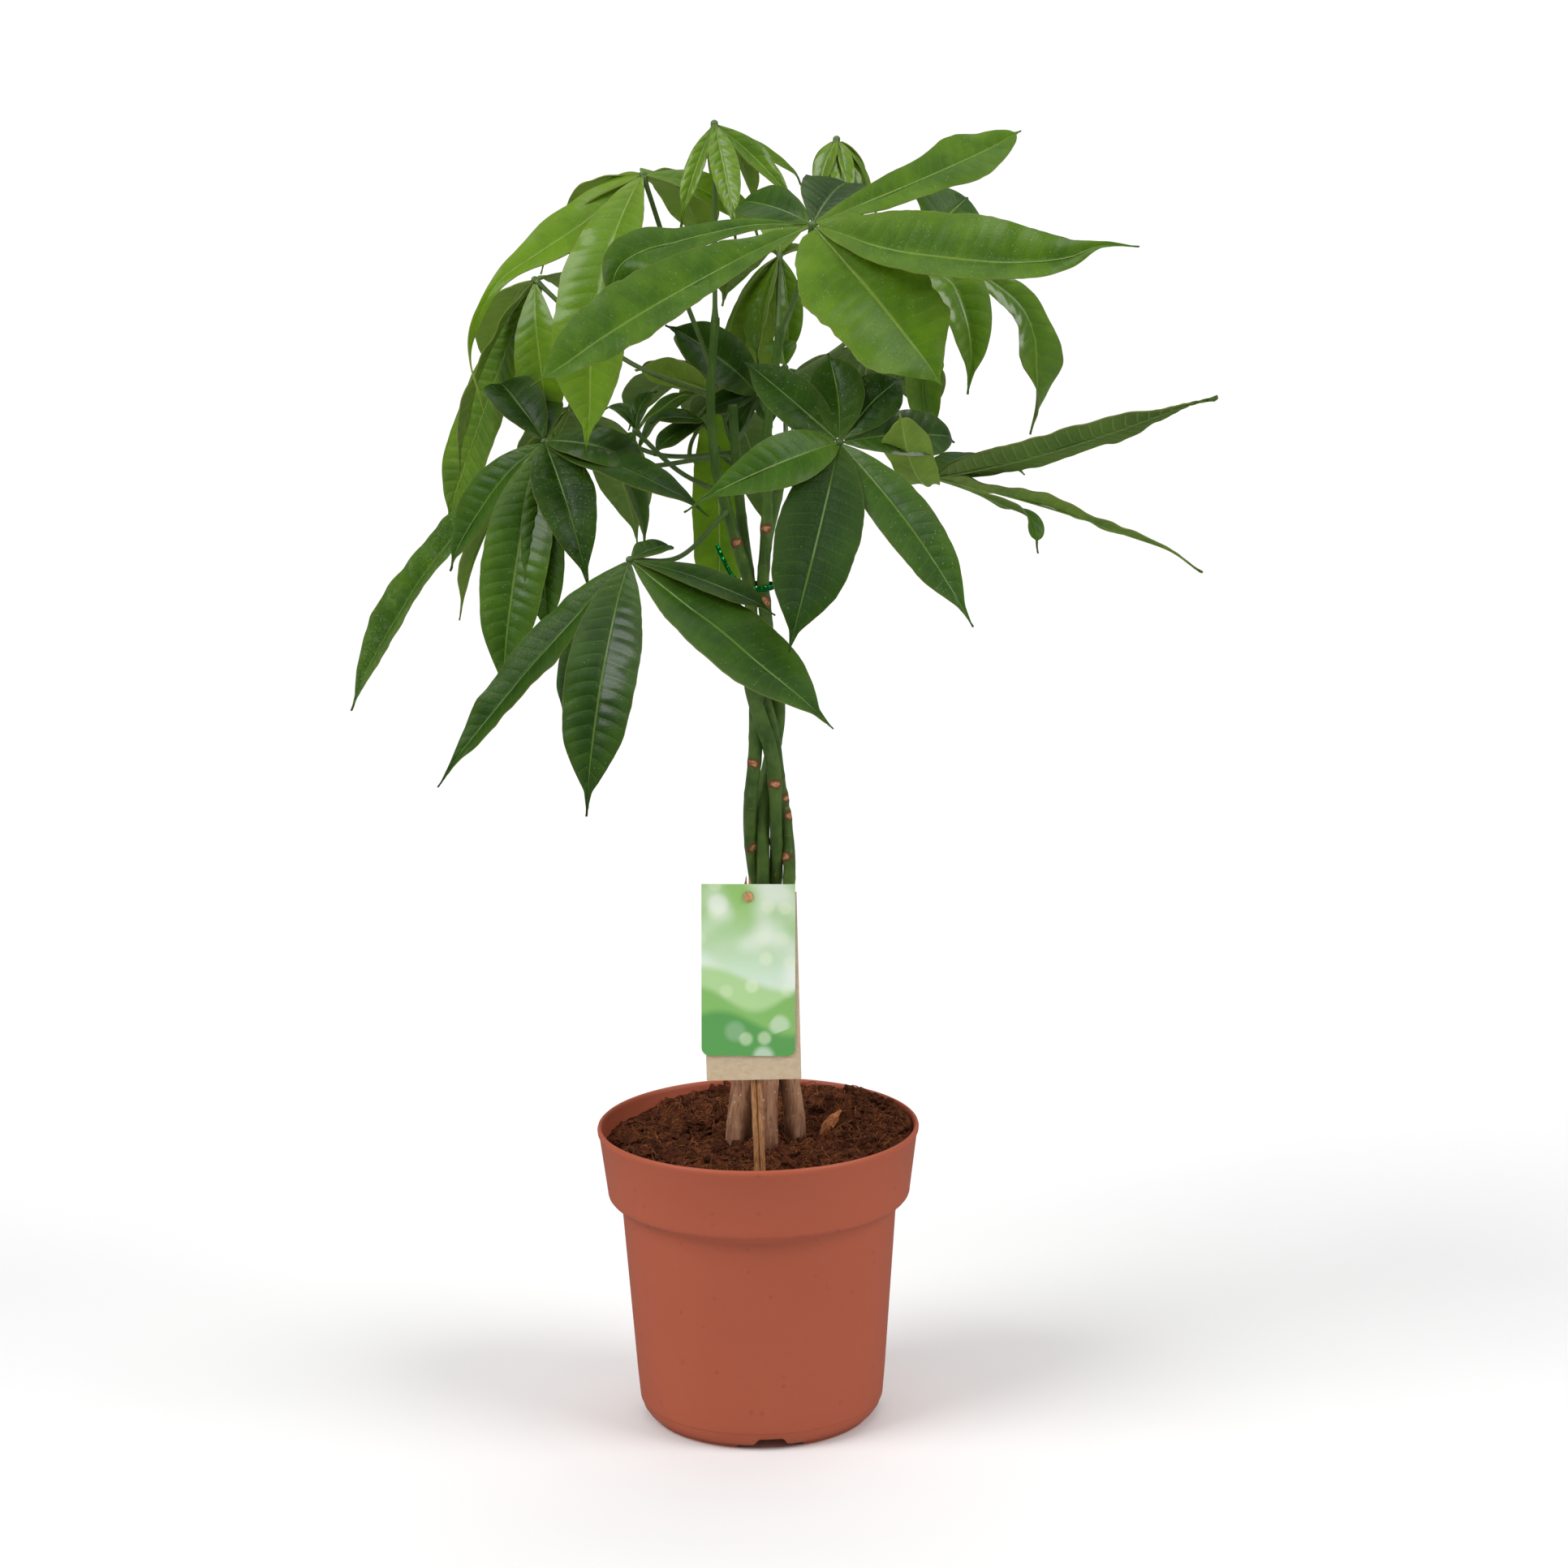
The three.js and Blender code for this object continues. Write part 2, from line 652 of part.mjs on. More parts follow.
function blade([x, y, z, width, arch, roll, fullness], face) {
  const chord = new THREE.Vector3(x, y, z);
  const along = chord.clone().normalize();
  const side = along.clone().cross(face).normalize();
  const lift = side.clone().cross(along);
  const control = chord.clone().multiplyScalar(BLADE_CREST).addScaledVector(lift, 2 * arch);
  const curve = new THREE.QuadraticBezierCurve3(new THREE.Vector3(), control, chord);
  const turn = THREE.MathUtils.degToRad(roll);
  const rings = [BLADE_START / chord.length(), ...BLADE_STATIONS].map((share) => {
    const middle = curve.getPoint(share);
    const tangent = curve.getTangent(share);
    const across = side.clone().applyAxisAngle(tangent, turn);
    const normal = across.clone().cross(tangent);
    const half = halfWidth(share, width, fullness);
    const place = (reach, rise) =>
      middle
        .clone()
        .addScaledVector(across, reach)
        .addScaledVector(normal, rise + Math.abs(reach) * BLADE_FOLD);
    const skin = BLADE_THICKNESS / 2;
    return [
      place(half, skin),
      place(0, skin),
      place(-half, skin),
      place(-half, -skin),
      place(0, -skin),
      place(half, -skin),
    ];
  });
  return loft(rings, 3);
}

function stalkCurve(spec, hub) {
  const stem = new THREE.CatmullRomCurve3(stemPoints(STEMS[spec.stem]));
  const off = (point) => Math.abs(point.z - spec.from);
  const root = stem.getPoints(STALK_ROOT_SAMPLES).reduce((best, p) => (off(p) < off(best) ? p : best));
  const reach = hub.clone().sub(root);
  const middle = root.clone().addScaledVector(reach, 0.5);
  middle.z -= STALK_SAG * Math.hypot(reach.x, reach.y);
  return new THREE.CatmullRomCurve3([root, middle, hub].map((p) => p.clone().sub(hub)));
}

function leafBody(spec) {
  const hub = vector(spec.hub);
  const face = vector(spec.face).normalize();
  const stalk = limb(stalkCurve(spec, hub), () => STALK_RADIUS, STALK_SIDES, STALK_STEPS);
  const knob = new THREE.IcosahedronGeometry(HUB_RADIUS, 0);
  const whole = join([stalk, knob, ...spec.blades.map((b) => blade(b, face))]);
  const clear = solid(stemSolid(STEMS[spec.stem], SEAT_GAP)).translate(-hub.x, -hub.y, -hub.z);
  const bodies = whole.subtract(clear).decompose();
  return bodies.reduce((most, b) => (b.volume() > most.volume() ? b : most));
}

// ---- Twist tie ----

function tieBody() {
  const inner = TIE_BORE_RADIUS;
  const outer = inner + TIE_BAND_THICKNESS;
  const low = -TIE_BAND_HEIGHT / 2;
  const high = TIE_BAND_HEIGHT / 2;
  const profile = [
    [inner, low],
    [outer, low],
    [outer, high],
    [inner, high],
    [inner, low],
  ].map(([r, z]) => new THREE.Vector2(r, z));
  const band = new THREE.LatheGeometry(profile, TIE_SIDES).rotateX(Math.PI / 2);
  const middle = axisAt(TIE_Z);
  band.translate(middle.x, middle.y, TIE_Z);
  const wide = TIE_BAND_HEIGHT / 2;
  const thick = TIE_BAND_THICKNESS / 2;
  const section = new THREE.Shape([
    new THREE.Vector2(-wide, -thick),
    new THREE.Vector2(wide, -thick),
    new THREE.Vector2(wide, thick),
    new THREE.Vector2(-wide, thick),
  ]);
  const route = new THREE.CatmullRomCurve3(TIE_TAIL.map(vector));
  const tail = new THREE.ExtrudeGeometry(section, {
    steps: TAIL_STEPS,
    extrudePath: route,
    bevelEnabled: false,
  });
  return join([band, tail]);
}

// ---- Plant tag, in its own group: x across, y away from the viewer, z up the stick ----

const TAG_LAYERS = {
  board: 0,
  card: -(CARD.thickness + SEAT_GAP),
  stick: BOARD.thickness + SEAT_GAP + STICK_HALF_RADIUS,
};

// An upright sheet with rounded lower corners and a hole for the peg.
function sheet({ width, shift, low, high, corner, thickness }) {
  const left = shift - width / 2;
  const right = shift + width / 2;
  const outline = new THREE.Shape();
  outline.moveTo(left, high);
  outline.lineTo(left, low + corner);
  outline.quadraticCurveTo(left, low, left + corner, low);
  outline.lineTo(right - corner, low);
  outline.quadraticCurveTo(right, low, right, low + corner);
  outline.lineTo(right, high);
  const hole = new THREE.Path();
  hole.absarc(0, PIN_UP, PIN_RADIUS + SEAT_GAP, 0, TURN, true);
  outline.holes.push(hole);
  const flat = { depth: thickness, bevelEnabled: false, curveSegments: 5 };
  return new THREE.ExtrudeGeometry(outline, flat).rotateX(Math.PI / 2).translate(0, thickness, 0);
}

function stickBody() {
  const length = STICK_TOP - STICK_BOTTOM;
  const middle = (STICK_TOP + STICK_BOTTOM) / 2;
  const half = (side) => {
    const rod = new THREE.CylinderGeometry(STICK_HALF_RADIUS, STICK_HALF_RADIUS, length, 8);
    return rod.rotateX(Math.PI / 2).translate((side * STICK_HALF_SPACING) / 2, 0, middle);
  };
  const pencil = new THREE.LatheGeometry(
    [
      [0, STICK_BOTTOM],
      [STICK_TIP_RADIUS, STICK_BOTTOM],
      [STICK_WIDTH / 2, STICK_BOTTOM + STICK_POINT],
      [STICK_WIDTH / 2, STICK_TOP - STICK_POINT],
      [STICK_TIP_RADIUS, STICK_TOP],
      [0, STICK_TOP],
    ].map(([r, z]) => new THREE.Vector2(r, z)),
    10,
  ).rotateX(Math.PI / 2);
  const boreRadius = PIN_RADIUS + SEAT_GAP;
  const bore = new THREE.CylinderGeometry(boreRadius, boreRadius, 2 * PIN_HOLE_DEPTH, 10);
  bore.translate(0, -STICK_HALF_RADIUS, PIN_UP);
  const pointed = join([half(-1), half(1)]).intersect(solid(pencil));
  return pointed.subtract(solid(bore));
}

function pinBody() {
  const face = PIN_HEAD_RADIUS * PIN_HEAD_TAPER;
  const head = new THREE.CylinderGeometry(face, PIN_HEAD_RADIUS, PIN_HEAD_HEIGHT, 14);
  head.rotateX(Math.PI).translate(0, -PIN_HEAD_HEIGHT / 2, 0);
  const toStick = CARD.thickness + BOARD.thickness + 3 * SEAT_GAP;
  const length = PIN_IN_HEAD + toStick + PIN_IN_STICK;
  const shank = new THREE.CylinderGeometry(PIN_RADIUS, PIN_RADIUS, length, 10);
  shank.translate(0, length / 2 - PIN_IN_HEAD, 0);
  return join([head, shank]);
}

// ---- The plant, put together ----

const plant = new THREE.Group();
plant.add(piece("pot", geometryOf(potBody()), COLOURS.pot, 0.5));

for (const [name, spec] of Object.entries(STEMS)) {
  plant.add(piece(name, stemSolid(spec), COLOURS.bark, 0.6));
}

for (const [name, spec] of Object.entries(LEAVES)) {
  const leaf = piece(name, geometryOf(leafBody(spec)), COLOURS.leaf, 0.4);
  leaf.position.set(...spec.hub);
  plant.add(leaf);
}

plant.add(piece("twist_tie", geometryOf(tieBody()), COLOURS.tie, 0.3, 0.6));

const tag = new THREE.Group();
tag.position.set(...TAG_FOOT);
tag.rotation.x = -TAG_LEAN;
const card = piece("tag_card", sheet(CARD), COLOURS.card);
card.position.y = TAG_LAYERS.card;
const board = piece("tag_board", sheet(BOARD), COLOURS.board);
const stick = piece("tag_stick", geometryOf(stickBody()), COLOURS.bamboo);
stick.position.set(Math.sin(STICK_TILT) * PIN_UP, TAG_LAYERS.stick, PIN_UP * (1 - Math.cos(STICK_TILT)));
stick.rotation.y = -STICK_TILT;
const pin = piece("tag_pin", geometryOf(pinBody()), COLOURS.bamboo);
pin.position.set(0, TAG_LAYERS.card - SEAT_GAP, PIN_UP);
tag.add(card, board, stick, pin);
plant.add(tag);
plant.updateMatrixWorld(true);

const stickAcross = STICK_HALF_SPACING + 2 * STICK_HALF_RADIUS;
const stickHole = new THREE.BoxGeometry(stickAcross, 2 * STICK_HALF_RADIUS, STICK_HOLE_DEPTH);
stickHole.translate(0, 0, STICK_BOTTOM - SEAT_GAP + STICK_HOLE_DEPTH / 2).applyMatrix4(stick.matrixWorld);
const stemHoles = Object.values(STEMS).map((spec) => stemSolid(spec, SEAT_GAP));
const soil = soilBody([...stemHoles, stickHole].map(solid));
plant.add(piece("soil", geometryOf(soil), COLOURS.soil, 1));

export default plant;
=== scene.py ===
"""Potted money tree: four plaited stems with palmate leaves, in a plastic nursery pot with a plant tag.

The named sizes below are in millimetres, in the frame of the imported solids: +Z up, -Y the front.
"""

import bmesh
import bpy
import math
import random
from mathutils import Matrix, Vector, noise


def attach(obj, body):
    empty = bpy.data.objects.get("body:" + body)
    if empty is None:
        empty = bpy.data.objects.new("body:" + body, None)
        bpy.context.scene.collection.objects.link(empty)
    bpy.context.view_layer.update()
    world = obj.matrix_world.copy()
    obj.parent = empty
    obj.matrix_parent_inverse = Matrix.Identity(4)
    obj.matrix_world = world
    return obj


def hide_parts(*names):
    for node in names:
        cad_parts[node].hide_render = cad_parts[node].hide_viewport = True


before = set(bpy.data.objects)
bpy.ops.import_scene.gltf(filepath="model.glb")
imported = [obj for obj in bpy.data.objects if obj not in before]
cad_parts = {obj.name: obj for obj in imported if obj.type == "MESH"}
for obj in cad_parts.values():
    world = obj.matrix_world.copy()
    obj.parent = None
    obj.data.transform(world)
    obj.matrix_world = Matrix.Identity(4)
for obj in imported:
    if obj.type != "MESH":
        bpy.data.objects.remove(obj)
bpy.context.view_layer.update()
MM = 0.001
MERGE = 1e-4  # points nearer than this are one
SEED = 11

# ---- Driving sizes ----
# Most are those of the part's source. The blades, stalks and hubs are thinner here and the stems a little
# thicker, and some leaflets are placed by the photograph.

SEAT_GAP = 0.3

POT_HEIGHT = 160
RIM_RADIUS = 85
BAND_FOOT_RADIUS = 80
BAND_FOOT_Z = 124
WALL_TOP_RADIUS = 73
WALL_TOP_Z = 121
WALL_FOOT_RADIUS = 65.5
WALL_FOOT_Z = 18
FOOT_RADIUS = 57.5
FLOOR_Z = 8
WALL = 1.8
FOOT_RING = 1.5
RING_GAP = 35
NOTCH_BOTTOM = 20
NOTCH_TOP = 13
NOTCH_HEIGHT = 7
NOTCH_COUNT = 4
NOTCH_TURN = 0.08
POT_SIDES = 240
MOULD_LINE_Z = 10.5

SOIL_TOP = 151
SOIL_SLOPE = (0.018, 0.012)
SOIL_RADIUS = 81.4

ROOT_Z = 132
SOIL_LINE_Z = 152
SPREAD_END_Z = 185
SPREAD_END = 0.75
WEAVE_START_Z = 212
WEAVE_END_Z = 408
WEAVE_POINTS = 18
FRONT_CROSSING_Z = 375
QUARTER_TURN = 65
WEAVE_RADIUS = 6.9
WEAVE_SWING = 3.5
STEM_RADIUS = 3.3
TIE_Z_BELOW = 428
TIE_Z = 447
RADIUS_BELOW_TIE = 5.6
TIE_RADIUS = 4.8
BUNDLE_TURN = 45
PLAIT_AXIS = [(4, 0, 100), (4, 0, 152), (6, 0, 230), (8, 0, 330), (3, 0, 447)]
FOOT_SHARE = (0.12, 0.3)
TIP_SHARE = 0.62

# Stems. Each: its hand, its azimuth at the front crossing, its (azimuth, spread, radius) at the soil, the
# radius of its tip, and its points above the tie.
STEMS = {
    "stem_1": (-1, 270, (100, 13, 5.0), 2.1, [
        (-7, -2, 470), (-11, -1, 485), (-17, 0, 510), (-19, 0, 545), (-16, 0, 585),
    ]),
    "stem_2": (1, 270, (5, 15.5, 5.4), 2.1, [
        (8, -4, 470), (9, -3, 490), (9, -1, 520), (12, 0, 545), (17, 0, 580),
    ]),
    "stem_3": (1, 90, (188, 15, 6.8), 2.4, [(-3, 6, 470), (-6, 8, 500), (-8, 8, 540)]),
    "stem_4": (-1, 90, (276, 13, 4.4), 2.4, [(9, 6, 470), (15, 9, 495), (19, 12, 520)]),
}

# What the folded leaflets of the youngest leaf have in common.
YOUNG = dict(fold=0.4, point=0.35, tail=0.4, widest=0.42)

# Leaves. Each: its stem, the height it rises from, the hub of its leaflets, the way its upper side looks, its
# tone (0 old and dark, 1 young and bright) and its leaflets: (tip from the hub), width, arch, roll, fullness,
# then what it has of its own beside the usual habit.
LEAVES = {
    "leaf_top": ("stem_1", 583, (-15, 0, 682), (0, -0.2, 1), 0.85, [
        ((-18, -22, -49), 11, 3, 0, 1, dict(gloss=0.5, fold=0.6, point=0.3, tail=0.4, ribs=0.5)),
        ((11, -38, -55), 15, 3, 0, 1, dict(
            gloss=0.6, fold=0.4, point=0.3, tail=0.4, ribs=0.9, twist=30, hook=4, widest=0.48)),
        ((42, -12, -41), 14, 1, 20, 1, dict(
            gloss=0.5, fold=0.4, point=0.3, tail=0.4, hook=6, widest=0.5)),
        ((47, 16, -30), 12, 0, 20, 1, dict(fold=0.4, point=0.2, hook=4)),
        ((0, 40, -44), 11, 5, 0, 1, dict(fold=0.5, point=0.2)),
        ((20, 40, -45), 13, 5, 0, 1, dict(fold=0.5, point=0.2)),
    ]),
    "leaf_top_right": ("stem_2", 566, (47, 50, 671), (0, 0, 1), 1, [
        ((-12, -14, -38), 13, 3, 0, 1, dict(YOUNG, gloss=0.7)),
        ((3, -24, -46), 13, 3, 0, 1, dict(YOUNG, gloss=0.7, ribs=0.4)),
        ((13, -18, -47), 12, 3, 0, 1, dict(YOUNG, gloss=0.7)),
        ((22, -4, -45), 13, 3, 0, 1, dict(YOUNG, gloss=0.7)),
        ((14, 22, -44), 14, 4, 0, 1, YOUNG),
        ((-10, 24, -44), 14, 4, 0, 1, YOUNG),
    ]),
    "leaf_left_crown": ("stem_1", 560, (-52, 20, 656), (0, 0, 1), 0.9, [
        ((-83, -30, -115), 30, 0, -35, 0.62, dict(
            via=[(-28, -8, -22), (-53, -16, -38), (-71, -22, -50), (-81, -26, -64), (-88, -28, -84)],
            waves=0.9, twist=-150, twist_from=0.5, widest=0.32, point=0.42, tail=0.34, ribs=0.15)),
        ((-27, -48, -136), 43, 22, 0, 1.25, dict(
            gloss=0.45, waves=0.8, ribs=0.35, widest=0.54, point=0.16, tail=0.3, fold=0.3, hook=-5,
            tone=0.1)),
        # Painted light: this leaflet's raised tone paints its shaded dome as pale as light shining through it
        # would.
        ((-56, 25, -50), 27, 9, -22, 1.2, dict(waves=0.6, widest=0.45, tone=0.1, ribs=0.2, dust=1)),
        ((62, -8, -30), 27, 6, 22, 1.1, dict(point=0.2, hook=5, tone=-0.15)),
        ((30, 75, -45), 34, 14, 0, 1.2, dict(waves=1)),
        ((-38, 78, -60), 34, 16, 0, 1.2, dict(waves=1)),
    ]),
    "leaf_front_crown": ("stem_2", 577, (33, -70, 636), (0, -0.75, 0.65), 0.62, [
        ((104, 45, 40), 22, 3, 0, 1.7, dict(
            widest=0.63, point=0.06, tail=0.2, hook=-3, waves=0.7, ribs=0.12, fold=0.15, bow=3,
            ragged=0.04)),
        ((155, -45, -9), 37, -8, 0, 1.15, dict(
            via=[(33, -10, -11), (62, -18, -16), (96, -27, -18), (122, -35, -15), (137, -40, -9)],
            widest=0.47, point=0.22, tail=0.2, hook=0, waves=1.2, ragged=0.04, twist=30, ribs=0.12,
            fold=0.3, skew=-0.25, tone=-0.05)),
        ((62, -30, -75), 62, 4, 0, 1.42, dict(
            widest=0.43, point=0.07, tail=0.12, waves=1.8, ragged=0.1, ribs=0.12, fold=0.16, skew=0.05,
            tone=0.15)),
        ((-136, -46, -73), 33, 4, 0, 1.15, dict(
            widest=0.62, point=0.1, tail=0.1, hook=-2, waves=1.4, ragged=0.08, ribs=0.1, fold=0.16, bow=2,
            skew=0.22)),
        ((-97, -4, -38), 15, 0, 0, 1.15, dict(
            via=[(-28, 3, 0), (-50, 4, -4), (-67, 4, -8), (-83, 3, -12), (-94, 0, -19), (-98, -3, -29)],
            widest=0.66, point=0.05, waves=0.6, twist=-95, twist_from=0.72, ribs=0.12, ragged=0.04,
            tone=-0.15)),
        ((-37, 35, 9), 25, 5, 0, 1.3, dict(waves=1, widest=0.6, tone=-0.38)),
        ((21, 80, 16), 33, 4, 0, 1.2, dict(waves=1, widest=0.62, tone=-0.45)),
    ]),
    "leaf_right_front": ("stem_4", 500, (45, -90, 532), (0, -0.9, 0.45), 0.1, [
        ((-47, 12, 40), 24, 3, 0, 1.2, dict(waves=0.5, ribs=0.15, widest=0.5, dust=1)),
        ((-5, 22, 42), 26, 3, 0, 1.2, dict(waves=0.5, ribs=0.15, tone=0.15)),
        ((32, 18, 30), 25, 3, 0, 1.2, dict(waves=0.5, ribs=0.15, widest=0.6, dust=0.8)),
        ((60, 30, -2), 24, 9, 0, 1.2, dict(gloss=0.7, waves=0.8, ribs=0.3, hook=6, tone=0.15)),
        ((62, -58, -81), 27, 3, 0, 1.1, dict(
            gloss=0.2, waves=0.8, ribs=0.2, widest=0.5, bow=-1, tone=0.2, dust=1)),
        ((-26, -64, -91), 41, 6, 0, 1.2, dict(waves=0.7, ribs=0.2, widest=0.5, fold=0.12)),
        ((-74, -40, -25), 27, 6, 0, 1.1, dict(
            waves=0.6, ribs=0.2, widest=0.42, point=0.26, hook=6, tone=0.25, dust=1.5)),
    ]),
    "leaf_right_far": ("stem_4", 515, (93, -40, 508), (0, 0.3, 1), 0.22, [
        ((129, -108, 53), 31, -5, -12, 1.15, dict(
            waves=0.8, ribs=1, widest=0.4, point=0.2, bow=2, hook=2, tone=0.05)),
        ((131, -50, -38), 26, 3, -6, 1.05, dict(waves=1.3, ribs=0.4, widest=0.4, hook=4, tone=0.3)),
        ((54, 14, -40), 13, 0, 0, 1.2, dict(
            via=[(18, 6, -7), (36, 12, -16), (50, 16, -24)], waves=1.2, twist=90, twist_from=0.5,
            widest=0.78, tone=0.3)),
        ((-19, -64, 41), 21, 0, 0, 1.6, dict(
            via=[(-3, -15, -2), (-9, -36, 6), (-15, -52, 22)], waves=1.8, twist=25, widest=0.6, point=0.1,
            tone=0.7, fold=0.4)),
        ((50, 80, -8), 34, 10, 0, 1.2),
    ]),
    "leaf_right_crown": ("stem_2", 550, (87, 30, 606), (0, 0, 1), 0.6, [
        ((28, 30, 34), 25, 3, 40, 1.5, dict(widest=0.66, point=0.04, hook=0, waves=1, tone=-0.2)),
        ((25, -26, -62), 28, 0, 30, 1.2, dict(
            gloss=0.9, via=[(17, -10, -6), (24, -16, -22), (27, -21, -41)], waves=0.8, ribs=0.3, fold=0.5,
            point=0.26, tail=0.3, widest=0.43, hook=0, tone=0.25)),
        ((61, 8, -86), 18, 0, 68, 1.3, dict(
            gloss=1,
            via=[(24, 8, 0), (42, 12, -10), (55, 13, -22), (61, 12, -37), (62, 11, -52), (63, 9, -68)],
            waves=1, twist=-62, twist_from=0.62, ribs=0.3, point=0.1, tail=0.5, widest=0.6, fold=0.3,
            ragged=0.07, tone=0.15)),
        ((7, -12, -94), 19, 0, 20, 1.2, dict(
            gloss=0.8, via=[(3, -6, -30), (2, -10, -62)], waves=0.5, fold=0.5, tone=0.1)),
        ((45, 88, -10), 34, 12, 0, 1.2),
        ((-5, 95, -40), 34, 14, 0, 1.2),
    ]),
    "leaf_left_middle": ("stem_1", 515, (-104, 0, 523), (0, -0.5, 0.85), 0.14, [
        ((-115, 85, -154), 26, 8, -15, 1.15, dict(
            ribs=0.3, fold=0.45, bow=5, widest=0.6, point=0.09, tone=0.4, dust=2)),
        ((-52, 4, -66), 28, 6, 0, 1.2, dict(ribs=0.4, fold=0.3, tone=0.15)),
        ((-22, -50, -124), 35, 12, 0, 1.2, dict(
            gloss=0.4, waves=0.6, ribs=0.55, widest=0.5, tone=0.3, dust=1)),
        ((2, -44, -98), 22, 10, 0, 1.1, dict(gloss=0.6, waves=0.7, ribs=0.7, fold=0.35, tone=0.25)),
        ((24, -50, -70), 31, 12, 0, 1.1, dict(
            waves=0.5, ribs=0.2, widest=0.47, point=0.24, fold=0.28, dust=0.7)),
        ((84, -62, -27), 24, 5, 0, 1.1, dict(waves=0.5, ribs=0.15, widest=0.45, hook=4)),
        ((55, -30, -12), 28, 7, 0, 1.2, dict(gloss=0.5, waves=0.7, ribs=0.3, point=0.16, hook=6)),
        ((-5, 50, 18), 26, 6, 0, 1.2),
        ((-26, 40, 27), 27, 6, 0, 1.5, dict(widest=0.6, fold=0.35)),
    ]),
    "leaf_left_low": ("stem_1", 486, (-58, -100, 477), (0, -0.4, 0.9), 0.18, [
        ((-97, -15, -108), 27, 2, 0, 1.05, dict(
            gloss=0, waves=1.2, ribs=0.2, widest=0.45, fold=0.3, tone=0.1, dust=0)),
        ((-21, -64, -113), 35, 18, 0, 1.2, dict(gloss=0.45, waves=0.8, ribs=0.6, widest=0.54, fold=0.16)),
        ((98, -73, -69), 41, 2, 0, 1.1, dict(waves=0.5, ribs=0.1, widest=0.56, fold=0.12, bow=2)),
        ((71, -26, -22), 18, 2, 0, 1.1, dict(waves=0.4, ribs=0.1, widest=0.6, gloss=0, dust=0)),
        ((20, 30, 3), 16, 2, 0, 1),
        ((-38, 35, -86), 32, 8, 0, 1.2),
    ]),
    "leaf_left_high": ("stem_1", 545, (-110, 50, 601), (-0.2, 0, 1), 0.85, [
        ((-44, 0, -99), 24, 8, 0, 1, dict(
            gloss=0.5, waves=1.3, twist=35, ribs=0.4, widest=0.45, point=0.2)),
        ((-55, 40, -137), 32, 2, -70, 1.2, dict(gloss=0.5, ribs=0.9, widest=0.58)),
        ((8, -20, -80), 27, 7, 0, 1.1, dict(gloss=0.4)),
        ((-20, 95, -70), 36, 16, 0, 1.2),
        ((45, 85, -40), 34, 14, 0, 1.2),
    ]),
    "leaf_left_back": ("stem_3", 515, (-95, 95, 530), (0, 0, 1), 0.4, [
        ((-67, 25, -118), 34, 10, 0, 1.2, dict(tone=0.4)),
        ((-27, 10, -128), 32, 10, 0, 1.2, dict(ribs=0.4, tone=0.35)),
        ((40, -10, -75), 32, 8, 0, 1.2),
        ((-22, 76, -78), 36, 14, 0, 1.2, dict(ribs=0.6)),
        ((32, 72, -84), 36, 14, 0, 1.2),
    ]),
    "leaf_centre_back": ("stem_3", 538, (-20, 85, 540), (0, 0, 1), 0.45, [
        ((-41, -10, -33), 28, 6, 0, 1.2),
        ((-40, 15, 10), 28, 6, 0, 1.2),
        ((-16, 20, 30), 28, 6, 0, 1.2),
        ((2, -32, -130), 28, 18, 0, 1.2, dict(waves=0.6, tone=0.5)),
        ((28, 50, -85), 32, 14, 0, 1.2),
        ((2, 87, -50), 36, 16, 0, 1.2, dict(ribs=0.5)),
        ((-48, 84, -30), 34, 16, 0, 1.2),
    ]),
    "leaf_high_back": ("stem_2", 556, (17, 80, 610), (0, 0, 1), 0.8, [
        # Painted light: the raised tones of the first, second and fourth leaflets paint them as bright as
        # light shining through them would, though they lie in the crown's shade.
        ((-13, -30, -54), 24, 4, 35, 1.2, dict(gloss=1, point=0.2, tone=0.15, waves=1.3, fold=0.4)),
        ((3, -15, -57), 17, 4, 0, 1.2, dict(gloss=0.5, point=0.25, tone=0.1)),
        ((-30, 0, -50), 22, 6, 0, 1.2),
        ((-24, 8, -77), 26, 4, 75, 1.5, dict(tone=0.6, widest=0.6, point=0.08)),
        ((7, 50, 20), 26, 6, 0, 1.2),
        ((50, 80, -34), 34, 14, 0, 1.2, dict(waves=1.2)),
        ((-32, 88, -32), 34, 14, 0, 1.2, dict(waves=1.2, ribs=0.5)),
    ]),
    "leaf_right_back": ("stem_4", 519, (66, 95, 560), (0, 0, 1), 0.35, [
        ((36, 25, -22), 28, 8, 0, 1.2),
        ((34, 72, -50), 34, 12, 0, 1.2, dict(ribs=0.5)),
        ((-2, 77, -55), 34, 14, 0, 1.2),
        ((-45, 45, -50), 32, 12, 0, 1.2),
    ]),
}
